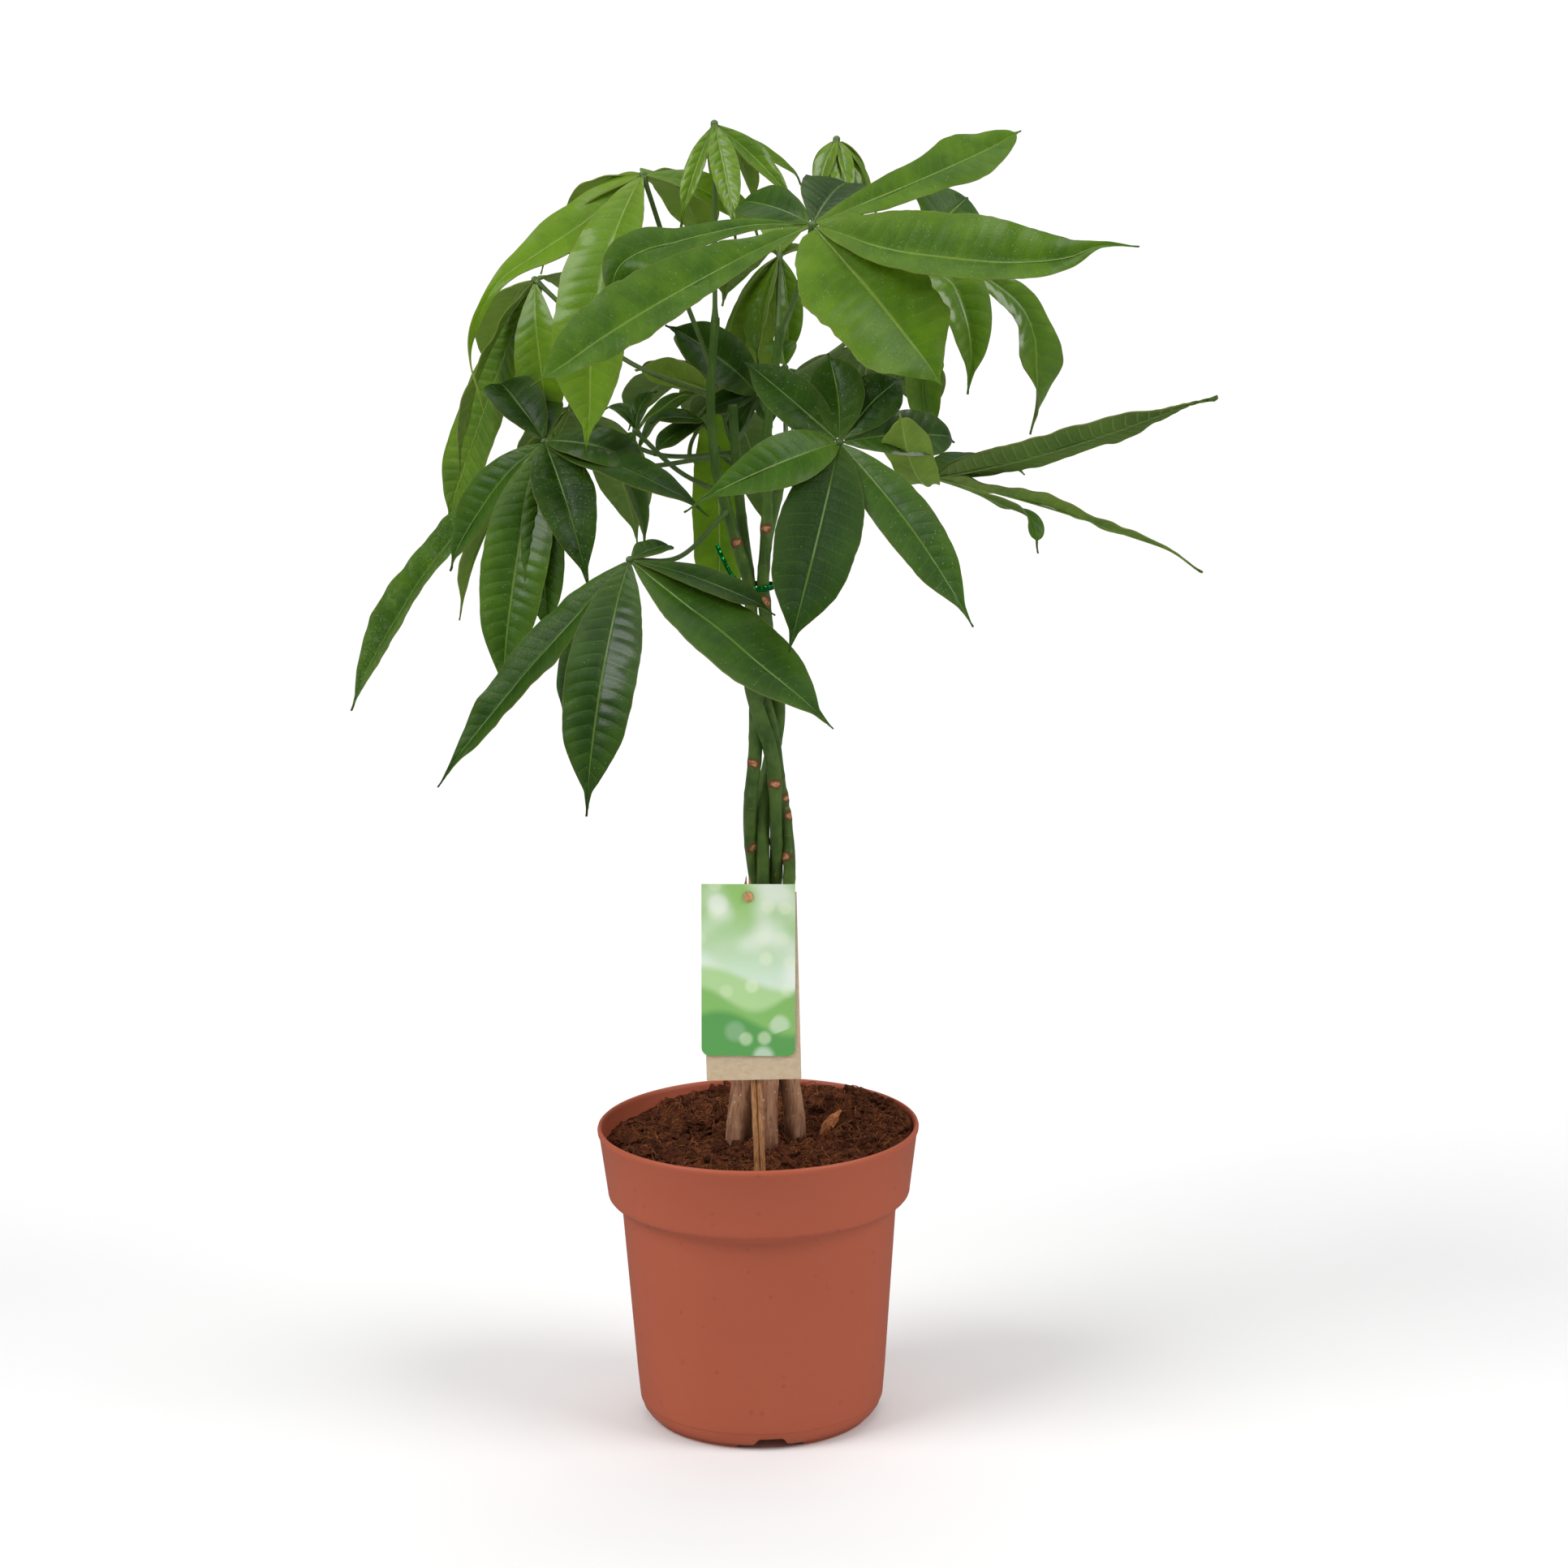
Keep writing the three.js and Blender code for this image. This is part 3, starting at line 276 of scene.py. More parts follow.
# Small leaves among the stems, too fine for the solids.
INNER_LEAVES = {
    "leaf_inner_high": ("stem_3", 520, (5, 35, 542), (0, -0.8, 0.6), 0.1, [
        ((-46, -14, 38), 29, 4, 0, 1.3, dict(widest=0.5)),
        ((-30, -10, -9), 13, 4, 0, 1.2),
        ((7, -12, -15), 12, 3, 0, 1.2),
        ((-15, 10, -24), 12, 3, 0, 1.2),
    ]),
    "leaf_inner_pale": ("stem_3", 516, (-15, 62, 539), (0, 0.7, 0.7), 0.35, [
        # Painted light: this leaflet's raised tone lightens its underside, which lies in shade.
        ((-44, -8, 16), 22, 3, 0, 1.2, dict(tone=0.65)),
        ((16, -10, 9), 14, 3, 0, 1.2, dict(tone=0.4)),
        ((-17, 20, -17), 14, 4, 0, 1.2),
        ((14, 22, -14), 14, 4, 0, 1.2),
    ]),
    "leaf_inner_left": ("stem_1", 496, (-58, 15, 526), (0, -0.3, 1), 0.3, [
        ((29, -14, 22), 13, 3, 0, 1.1, dict(tone=0.15)),
        ((10, 14, 20), 10, 3, 0, 1.1),
        ((-16, 10, 12), 11, 4, 0, 1.1),
        ((-5, -12, -17), 11, 3, 0, 1.1),
    ]),
    "leaf_inner_low": ("stem_3", 508, (-23, 50, 526), (0, -0.4, 0.9), 0.15, [
        ((-28, -12, 3), 15, 3, 0, 1.2),
        ((-27, -14, -14), 15, 3, 0, 1.2, dict(tone=0.15)),
        ((-8, 12, -23), 12, 3, 0, 1.2),
    ]),
    "leaf_inner_right": ("stem_4", 524, (19, 30, 556), (0, 0, 1), 0.35, [
        ((-9, -20, -26), 12, 4, 0, 1.1),
        ((13, -10, -19), 14, 4, 0, 1.1),
        ((-3, 22, 12), 16, 4, 0, 1.1, dict(tone=0.3)),
    ]),
}
# A leaflet's usual habit: how wavy and how ragged its edges are; how strongly it is quilted between its
# side veins; how far its end twists, in degrees, and from where; where it is widest; the share of its
# length that is a tapered point, and how wide that starts; how far that point hooks down and the midrib
# bows sideways, in mm; how much wider one half is than the other; how deep its fold is; how much brighter
# it is than its leaf; how dusty it is, which also sets a painted sheen, and how glossy it is; and what its
# midrib runs through between hub and tip, where that isn't a plain arch.
HABIT = dict(
    waves=0.8, ragged=0.03, ribs=0.2, twist=0, twist_from=0.45, widest=0.56, point=0.16, tail=0.24, hook=2,
    bow=0, skew=0, fold=0.2, tone=0, dust=0.2, gloss=0.1, via=(),
)
BRIGHT_TONE = 0.5  # leaves with this tone or more count as bright
BLADE_ALONG = 104
BLADE_ACROSS = 14
BLADE_THICKNESS = 0.6
BLADE_START = 2.0
BLADE_CREST = 0.45
BLADE_POWER = 2.25  # how slender an outline of fullness 1 is
ROOT_WIDTH = 1.9
TIP_WIDTH = 0.5
VEIN_SPACING = 6.6
VEIN_LEAN = 0.9  # how many spacings further along a side vein ends than it starts
QUILT = 0.55
MIDRIB_RADIUS = (0.85, 0.25)
MIDRIB_STEPS = 34
MIDRIB_END = 0.97
MIDRIB_SUNK = 0.84
TONE_SPREAD = 0.12
HUB_RADIUS = 2.0
STALK_STEPS = 40
STALK_RADIUS = 1.25
STALK_SAG = 0.1

TIE_BORE = 8.6
TIE_BAND_HEIGHT = 2.8
TIE_TURNS = 72
TWIST_ROUTE = [(-3.6, -7.4, 447), (-6.5, -8.9, 450), (-10, -10, 455)]
TAIL_ROUTE = [(-9.6, -10, 454.4), (-12.5, -10, 460), (-17, -9, 470)]

TAG_FOOT = (-3, -69, 150)
TAG_LEAN = 0.16
STICK_TILT = 0.03
CARD = dict(width=48, shift=0, low=64.5, high=152.5, corner=4, thickness=0.8)
BOARD = dict(width=48.5, shift=0.4, low=52, high=148, corner=0.6, thickness=1.2)
CARD_TURN = 0.012
BOARD_TURN = -0.014
STICK_RADIUS = 1.45
STICK_SPACING = 3.0
STICK_TOP = 156.5
STICK_BOTTOM = -20
PIN_UP = 146
PIN_HEAD_RADIUS = 2.7
PEG_SIDES = 28
STICK_STEPS = 60
ASKEW = -0.05


# ---- Small tools ----

def lerp(a, b, share):
    return a + (b - a) * share


def smoothstep(x, low, high):
    t = min(max((x - low) / (high - low), 0.0), 1.0)
    return t * t * (3 - 2 * t)


def smooth_path(points, per_span=16):
    """The centripetal Catmull-Rom curve through the points, as many short straight steps."""
    p = [Vector(v) for v in points]
    p = [2 * p[0] - p[1], *p, 2 * p[-1] - p[-2]]
    path = []
    for a, b, c, d in zip(p, p[1:], p[2:], p[3:]):
        t1 = math.sqrt((b - a).length)
        t2 = t1 + math.sqrt((c - b).length)
        t3 = t2 + math.sqrt((d - c).length)
        for i in range(per_span):
            t = lerp(t1, t2, i / per_span)
            ab = a.lerp(b, t / t1)
            bc = b.lerp(c, (t - t1) / (t2 - t1))
            cd = c.lerp(d, (t - t2) / (t3 - t2))
            path.append(ab.lerp(bc, t / t2).lerp(bc.lerp(cd, (t - t1) / (t3 - t1)), (t - t1) / (t2 - t1)))
    return [*path, p[-2]]


def even_steps(path, steps):
    """The same path, cut into equal steps."""
    lengths = [0.0]
    for a, b in zip(path, path[1:]):
        lengths.append(lengths[-1] + (b - a).length)
    out, i = [], 0
    for k in range(steps + 1):
        target = lengths[-1] * k / steps
        while i < len(path) - 2 and lengths[i + 1] < target:
            i += 1
        span = max(lengths[i + 1] - lengths[i], 1e-9)
        out.append(path[i].lerp(path[i + 1], (target - lengths[i]) / span))
    return out


def path_frames(path):
    """(tangent, side, other side) at each point, turning as little as possible from one to the next."""
    frames = []
    side = None
    for i in range(len(path)):
        tangent = (path[min(i + 1, len(path) - 1)] - path[max(i - 1, 0)]).normalized()
        if side is None:
            side = tangent.orthogonal().normalized()
        side = (side - tangent * side.dot(tangent)).normalized()
        frames.append((tangent, side, tangent.cross(side)))
    return frames


def add_tube(bm, path, radius_at, sides, material=0, shape=None, note_on=None):
    """A closed round limb along the path. radius_at(share) is its radius, and shape(share, angle) adds to it.

    note_on(vertex, share, angle) writes what its material reads.
    """
    steps = len(path) - 1
    frames = path_frames(path)
    made = bmesh.ops.create_grid(bm, x_segments=sides, y_segments=steps, size=0.5)["verts"]
    for v in made:
        share = v.co.y + 0.5
        i = round(share * steps)
        angle = (v.co.x + 0.5) * math.tau
        radius = radius_at(share) + (shape(share, angle) if shape else 0)
        _, side, other = frames[i]
        v.co = path[i] + (side * math.cos(angle) + other * math.sin(angle)) * radius
        if note_on:
            note_on(v, share, angle)
    for f in {f for v in made for f in v.link_faces}:
        f.material_index = material
        f.smooth = True
    bmesh.ops.remove_doubles(bm, verts=made, dist=1e-5)
    rim = [e for v in made if v.is_valid for e in v.link_edges if e.is_boundary]
    caps = bmesh.ops.holes_fill(bm, edges=list(set(rim)), sides=0)["faces"]
    for f in caps:
        f.material_index = material
    alive = [v for v in made if v.is_valid]
    bmesh.ops.recalc_face_normals(bm, faces=list({f for v in alive for f in v.link_faces}))
    return alive


def finish_closed(bm):
    """Turns its faces outwards, and shades them smooth."""
    bmesh.ops.recalc_face_normals(bm, faces=bm.faces)
    for f in bm.faces:
        f.smooth = True


def spun(profile, axis, steps):
    """A closed solid of revolution. The two ends of its profile lie on the axis."""
    bm = bmesh.new()
    verts = [bm.verts.new(point) for point in profile]
    edges = [bm.edges.new(pair) for pair in zip(verts, verts[1:])]
    bmesh.ops.spin(
        bm, geom=verts + edges, cent=(0, 0, 0), axis=axis, angle=math.tau, steps=steps, use_merge=True)
    bmesh.ops.remove_doubles(bm, verts=bm.verts, dist=MERGE)
    finish_closed(bm)
    return bm


def piece(name, bm, materials, slot, *nodes):
    """The finished piece, in metres, riding on the body and standing for the solids."""
    bmesh.ops.scale(bm, vec=(MM, MM, MM), verts=bm.verts)
    mesh = bpy.data.meshes.new(name)
    bm.to_mesh(mesh)
    bm.free()
    for material in materials:
        mesh.materials.append(material)
    made = bpy.data.objects.new(name, mesh)
    bpy.context.scene.collection.objects.link(made)
    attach(made, "root")
    if nodes:
        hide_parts(*nodes)
    return made


def joined(parts):
    """One bmesh of them all."""
    whole = bpy.data.meshes.new("joined")
    first, *rest = parts
    for part in rest:
        part.to_mesh(whole)
        part.free()
        first.from_mesh(whole)
    bpy.data.meshes.remove(whole)
    return first


def batched(count, add, per_batch=40):
    """One bmesh of many small shapes, add(bm) making each.

    A large bmesh is slow to add to, so they start apart.
    """
    batches = []
    for i in range(count):
        if i % per_batch == 0:
            batches.append(bmesh.new())
        add(batches[-1])
    return joined(batches)


# ---- Materials ----

class Nodes:
    """A short way to write a node tree."""

    def __init__(self, tree):
        self.tree = tree

    def node(self, kind, **values):
        made = self.tree.nodes.new(kind)
        for key, value in values.items():
            setattr(made, key, value)
        return made

    def link(self, source, target):
        self.tree.links.new(source, target)

    def feed(self, socket, value):
        if hasattr(value, "is_linked"):
            self.link(value, socket)
        else:
            socket.default_value = value

    def math(self, operation, a, b=0.0, clamp=False):
        made = self.node("ShaderNodeMath", operation=operation, use_clamp=clamp)
        self.feed(made.inputs[0], a)
        self.feed(made.inputs[1], b)
        return made.outputs[0]

    def times(self, a, b, clamp=False):
        return self.math("MULTIPLY", a, b, clamp)

    def plus(self, a, b, clamp=False):
        return self.math("ADD", a, b, clamp)

    def minus(self, a, b, clamp=False):
        return self.math("SUBTRACT", a, b, clamp)

    def rest(self, a):
        return self.minus(1.0, a)

    def tint(self, base, colour, mask, strength):
        """The base, turned to the colour by the mask at that strength."""
        return self.mix(self.times(mask, strength), base, colour)

    def ramp_share(self, value, low, high):
        """0 below low and 1 above high, smooth between."""
        made = self.node("ShaderNodeMapRange", interpolation_type="SMOOTHSTEP")
        self.feed(made.inputs["Value"], value)
        self.feed(made.inputs["From Min"], low)
        self.feed(made.inputs["From Max"], high)
        return made.outputs["Result"]

    def mix(self, share, a, b, blend="MIX"):
        made = self.node("ShaderNodeMix", data_type="RGBA", blend_type=blend)
        self.feed(made.inputs[0], share)
        self.feed(made.inputs[6], a)
        self.feed(made.inputs[7], b)
        return made.outputs[2]

    def noise(self, vector, scale, detail=3.0, roughness=0.55, distortion=0.0):
        made = self.node("ShaderNodeTexNoise")
        self.feed(made.inputs["Vector"], vector)
        made.inputs["Scale"].default_value = scale
        made.inputs["Detail"].default_value = detail
        made.inputs["Roughness"].default_value = roughness
        made.inputs["Distortion"].default_value = distortion
        return made.outputs["Fac"]

    def cells(self, vector, scale, **values):
        made = self.node("ShaderNodeTexVoronoi", **values)
        self.feed(made.inputs["Vector"], vector)
        self.feed(made.inputs["Scale"], scale)
        return made.outputs

    def scaled(self, vector, scale):
        made = self.node("ShaderNodeMapping")
        self.feed(made.inputs["Vector"], vector)
        made.inputs["Scale"].default_value = scale
        return made.outputs["Vector"]

    def object_place(self):
        return self.node("ShaderNodeTexCoord").outputs["Object"]

    def attribute(self, name):
        return self.node("ShaderNodeAttribute", attribute_name=name)

    def split(self, vector):
        made = self.node("ShaderNodeSeparateXYZ")
        self.feed(made.inputs[0], vector)
        return made.outputs

    def bump(self, height, strength, distance):
        made = self.node("ShaderNodeBump")
        self.feed(made.inputs["Height"], height)
        made.inputs["Strength"].default_value = strength
        made.inputs["Distance"].default_value = distance
        return made.outputs["Normal"]


def srgb(red, green, blue):
    """A colour given as 0-255 screen values, as the linear one that a shader takes."""
    def linear(c):
        c = c / 255
        return c / 12.92 if c <= 0.04045 else ((c + 0.055) / 1.055) ** 2.4
    return (linear(red), linear(green), linear(blue), 1.0)


def group(name, inputs, outputs):
    """A new node group with float, colour or vector sockets: (name, kind, default)."""
    tree = bpy.data.node_groups.new(name, "ShaderNodeTree")
    for label, kind, default in inputs:
        made = tree.interface.new_socket(name=label, in_out="INPUT", socket_type="NodeSocket" + kind)
        if default is not None:
            made.default_value = default
    for label, kind in outputs:
        tree.interface.new_socket(name=label, in_out="OUTPUT", socket_type="NodeSocket" + kind)
    nodes = Nodes(tree)
    return tree, nodes, nodes.node("NodeGroupInput").outputs, nodes.node("NodeGroupOutput").inputs


def material(name, roughness=0.5, specular=0.5):
    made = bpy.data.materials.new(name)
    made.use_nodes = True
    nodes = Nodes(made.node_tree)
    shader = made.node_tree.nodes["Principled BSDF"]
    shader.inputs["Roughness"].default_value = roughness
    shader.inputs["Specular IOR Level"].default_value = specular
    return made, nodes, shader.inputs


def place_group(nodes, tree, **values):
    made = nodes.node("ShaderNodeGroup", node_tree=tree)
    for key, value in values.items():
        nodes.feed(made.inputs[key.replace("_", " ").capitalize()], value)
    return made.outputs


# Leaflets carry two attributes. "leaflet" holds the count of side veins so far along it, the share of the
# way from its midrib (0) to its edge (1, negative on the other half), and how dusty it is, which also sets a
# painted sheen; "habit" holds its tone, how strongly it is quilted, and the share of the way from its hub to
# its tip.
def leaf_veins():
    tree, n, given, out = group(
        "leaf veins",
        [("Leaflet", "Vector", None), ("Width", "Float", 0.07)],
        [("Midrib", "Float"), ("Veins", "Float"), ("Swell", "Float"), ("Side", "Float")],
    )
    phase, across, _ = n.split(given["Leaflet"])
    side = n.math("ABSOLUTE", across)
    off = n.math("ABSOLUTE", n.minus(n.math("FRACT", n.plus(phase, 100.5)), 0.5))
    line = n.rest(n.ramp_share(off, 0.0, given["Width"]))  # off is 0 on a vein, 0.5 half way
    fade = n.rest(n.ramp_share(side, 0.72, 0.97))
    n.feed(out["Veins"], n.times(line, fade))
    n.feed(out["Midrib"], n.rest(n.ramp_share(side, 0.008, 0.045)))
    swell = n.ramp_share(off, 0.0, 0.3)
    n.feed(out["Swell"], n.times(swell, n.times(fade, n.ramp_share(side, 0.0, 0.15))))
    n.feed(out["Side"], side)
    return tree


def speckle():
    tree, n, given, out = group(
        "speckle",
        [("Place", "Vector", None), ("Scale", "Float", 400.0), ("Amount", "Float", 0.3)],
        [("Mask", "Float")],
    )
    cells = n.cells(given["Place"], given["Scale"])
    dot = n.rest(n.ramp_share(cells["Distance"], 0.12, 0.3))
    chosen = n.math("GREATER_THAN", given["Amount"], n.split(cells["Color"])[0])
    n.feed(out["Mask"], n.times(dot, chosen))
    return tree


VEINS = leaf_veins()
SPECKLE = speckle()

OLD_GLOW = srgb(84, 124, 12)  # what shines through a leaf from behind
YOUNG_GLOW = srgb(156, 194, 20)
GLOW_SHARE = 0.25
UPPER_SPECULAR = 0.17
UNDER_SPECULAR = 0.1
COAT_ROUGHNESS = 0.19


def leaf_material(name, tones, veined, roughness, under):
    """A leaf's face. tones are its colours at tone 0, 0.5 and 1, and veined those of its veins at 0 and 1."""
    made, n, shader = material(name, roughness, UNDER_SPECULAR if under else UPPER_SPECULAR)
    leaflet = n.attribute("leaflet").outputs["Vector"]
    tone, ribs, share = n.split(n.attribute("habit").outputs["Vector"])
    place = n.object_place()
    veins = place_group(n, VEINS, leaflet=leaflet)
    side = veins["Side"]
    mottle = n.minus(n.ramp_share(n.noise(place, 55.0, 4.0, 0.6), 0.3, 0.7), 0.5)
    vein = n.mix(tone, *veined)
    tone = n.plus(tone, n.times(mottle, 0.24), clamp=True)
    older = n.mix(n.times(tone, 2.0, clamp=True), tones[0], tones[1])
    base = n.mix(n.minus(n.times(tone, 2.0), 1.0, clamp=True), older, tones[2])
    patch = n.ramp_share(n.noise(place, 20.0, 2.0), 0.35, 0.7)
    base = n.tint(base, n.mix(1.0, base, (0.6, 0.72, 0.5, 1), "MULTIPLY"), patch, 0.4)
    base = n.tint(base, vein, n.ramp_share(side, 0.3, 1.0), 0.14)
    base = n.tint(base, vein, n.rest(n.ramp_share(share, 0.0, 0.3)), 0.24)
    line = n.times(veins["Veins"], n.plus(0.1, n.times(ribs, 0.22)))
    base = n.tint(base, vein, line, 1.5 if under else 1.0)
    base = n.tint(base, vein, veins["Midrib"], 0.7)
    base = n.tint(base, srgb(150, 140, 80), n.ramp_share(side, 0.97, 1.0), 0.35)
    gloss = n.noise(place, 40.0, 3.0)
    rough = n.plus(roughness - 0.12, n.times(gloss, 0.24))
    if not under:
        dust_and_sheen = n.split(leaflet)[2]
        amount = n.times(dust_and_sheen, n.ramp_share(n.noise(place, 30.0, 2.0), 0.3, 0.7))
        dust = place_group(n, SPECKLE, place=place, scale=900.0, amount=amount)
        base = n.tint(base, srgb(176, 192, 160), dust["Mask"], 0.6)
        # A pale grey-green film over dusty leaflets: dust that greys and roughens them, and a painted sheen
        # that pales them.
        dust_and_sheen_film = n.times(dust_and_sheen, n.ramp_share(n.noise(place, 160.0, 4.0, 0.7), 0.45, 0.8))
        base = n.tint(base, srgb(150, 170, 130), dust_and_sheen_film, 0.22)
        rough = n.plus(rough, n.times(dust_and_sheen_film, 0.25))
    n.feed(shader["Base Color"], base)
    n.feed(shader["Roughness"], rough)
    n.feed(shader["Coat Weight"], n.attribute("gloss").outputs["Fac"])
    shader["Coat Roughness"].default_value = COAT_ROUGHNESS
    swell = n.times(veins["Swell"], n.times(ribs, -1.0 if under else 1.0))
    net = n.cells(place, 420.0, feature="DISTANCE_TO_EDGE")
    fine = n.times(n.ramp_share(net["Distance"], 0.0, 0.12), 0.1)
    height = n.plus(n.plus(swell, fine), n.times(n.noise(place, 90.0, 2.0), 0.5))
    n.feed(shader["Normal"], n.bump(height, 0.6, 0.0008))
    shine = n.node("ShaderNodeBsdfTranslucent")
    n.feed(shine.inputs["Color"], n.mix(tone, OLD_GLOW, YOUNG_GLOW))
    blend = n.node("ShaderNodeMixShader")
    blend.inputs[0].default_value = GLOW_SHARE
    n.link(made.node_tree.nodes["Principled BSDF"].outputs[0], blend.inputs[1])
    n.link(shine.outputs[0], blend.inputs[2])
    n.link(blend.outputs[0], made.node_tree.nodes["Material Output"].inputs["Surface"])
    return made


def rib_material():
    """Midribs and leaf stalks: pale green, darker on old leaves."""
    made, n, shader = material("leaf rib", 0.45)
    tone = n.split(n.attribute("habit").outputs["Vector"])[0]
    place = n.object_place()
    base = n.mix(tone, srgb(84, 112, 50), srgb(128, 158, 66))
    stalk = n.split(n.attribute("leaflet").outputs["Vector"])[2]
    base = n.tint(base, srgb(62, 88, 34), stalk, 0.75)
    streaks = n.ramp_share(n.noise(n.scaled(place, (1, 1, 0.2)), 420.0, 3.0), 0.4, 0.7)
    base = n.tint(base, srgb(58, 74, 30), streaks, 0.35)
    n.feed(shader["Base Color"], base)
    n.feed(shader["Normal"], n.bump(streaks, 0.2, 0.0003))
    return made


def stem_material():
    """Green bark with brown leaf scars, turning to grey-brown cork at the foot.

    The attribute "scar" says how far up and round a point is from the nearest scar, in half sizes of a scar.
    """
    made, n, shader = material("stem bark", 0.5, 0.35)
    place = n.object_place()
    height = n.split(place)[2]
    long_grain = n.scaled(place, (1, 1, 0.12))
    wander = n.times(n.minus(n.noise(n.scaled(place, (1, 1, 0.3)), 90.0), 0.5), 0.03)
    foot = n.rest(n.ramp_share(n.plus(height, wander), 0.185, 0.225))
    green = n.mix(n.ramp_share(n.noise(place, 60.0, 3.0), 0.3, 0.7), srgb(48, 76, 24), srgb(82, 110, 44))
    green = n.tint(green, srgb(66, 98, 28), n.ramp_share(height, 0.40, 0.56), 0.5)
    streak = n.ramp_share(n.noise(long_grain, 700.0, 4.0, 0.7), 0.52, 0.72)
    green = n.tint(green, srgb(120, 136, 84), streak, 0.25)
    grain = n.ramp_share(n.noise(long_grain, 260.0, 4.0, 0.65), 0.35, 0.65)
    cork = n.mix(grain, srgb(138, 92, 68), srgb(182, 138, 106))
    cracks = n.ramp_share(n.noise(n.scaled(place, (1, 1, 0.2)), 620.0, 4.0, 0.7), 0.55, 0.68)
    cork = n.tint(cork, srgb(88, 58, 40), cracks, 0.6)
    flecks = place_group(n, SPECKLE, place=place, scale=330.0, amount=0.2)
    cork = n.tint(cork, srgb(206, 190, 164), flecks["Mask"], 0.6)
    wet = n.rest(n.ramp_share(n.plus(height, wander), 0.149, 0.160))
    cork = n.tint(cork, srgb(72, 38, 24), wet, 0.75)
    base = n.mix(foot, green, cork)
    from_scar = n.node("ShaderNodeVectorMath", operation="LENGTH")
    n.link(n.attribute("scar").outputs["Vector"], from_scar.inputs[0])
    ragged = n.plus(from_scar.outputs["Value"], n.times(n.noise(place, 330.0, 3.0, 0.65), 1.5))
    scar = n.rest(n.ramp_share(ragged, 1.45, 1.62))
    heart = n.rest(n.ramp_share(ragged, 0.95, 1.35))
    crumbly = n.ramp_share(n.noise(place, 620.0, 4.0, 0.7), 0.35, 0.65)
    rust = n.mix(crumbly, srgb(124, 70, 38), srgb(204, 152, 98))
    base = n.mix(scar, base, n.mix(heart, srgb(96, 62, 38), rust))
    n.feed(shader["Base Color"], base)
    rough = n.plus(0.3, n.times(n.math("MAXIMUM", foot, scar), 0.48))
    n.feed(shader["Roughness"], rough)
    relief = n.plus(n.times(streak, 0.25), n.times(n.times(cracks, foot), -1.2))
    relief = n.plus(relief, n.times(n.noise(place, 350.0, 5.0, 0.7), 0.7))
    n.feed(shader["Normal"], n.bump(relief, 0.6, 0.0006))
    return made


def pot_material():
    """Moulded terracotta-coloured plastic with a fine satin grain, scuffed a little."""
    made, n, shader = material("terracotta plastic", 0.48, 0.35)
    place = n.object_place()
    cloud = n.noise(place, 9.0, 3.0)
    base = n.mix(cloud, srgb(168, 81, 54), srgb(176, 89, 61))
    scuffs = n.ramp_share(n.noise(n.scaled(place, (1, 1, 4.0)), 60.0, 6.0, 0.75, 1.5), 0.62, 0.78)
    base = n.tint(base, srgb(206, 150, 126), scuffs, 0.14)
    dots = place_group(n, SPECKLE, place=place, scale=170.0, amount=0.12)
    base = n.tint(base, srgb(120, 58, 38), dots["Mask"], 0.25)
    n.feed(shader["Base Color"], base)
    n.feed(shader["Roughness"], n.plus(0.42, n.times(n.noise(place, 30.0, 4.0), 0.16)))
    grain = n.plus(n.noise(place, 900.0, 3.0), n.times(scuffs, 0.4))
    n.feed(shader["Normal"], n.bump(grain, 0.12, 0.0004))
    return made


def soil_material(name, light, dark):
    made, n, shader = material(name, 0.95, 0.15)
    place = n.object_place()
    # The colour follows the same height as the bump: painted shade darkens the hollows and a painted
    # highlight lightens the crests, over the peat's own mottling.
    coarse = n.ramp_share(n.noise(place, 160.0, 5.0, 0.7), 0.35, 0.65)
    fine = n.ramp_share(n.noise(place, 900.0, 5.0, 0.75), 0.35, 0.7)
    base = n.mix(n.plus(n.times(coarse, 0.55), n.times(fine, 0.45)), dark, light)
    n.feed(shader["Base Color"], base)
    n.feed(shader["Normal"], n.bump(n.plus(coarse, fine), 0.8, 0.0012))
    return made


def foil_material():
    made, n, shader = material("green foil", 0.22)
    shader["Metallic"].default_value = 1.0
    place = n.object_place()
    crease = n.noise(place, 420.0, 3.0, 0.6)
    n.feed(shader["Base Color"], n.mix(crease, srgb(8, 88, 38), srgb(26, 168, 74)))
    n.feed(shader["Roughness"], n.plus(0.12, n.times(crease, 0.25)))
    facets = n.cells(place, 620.0)
    n.feed(shader["Normal"], n.bump(facets["Distance"], 0.7, 0.0008))
    return made


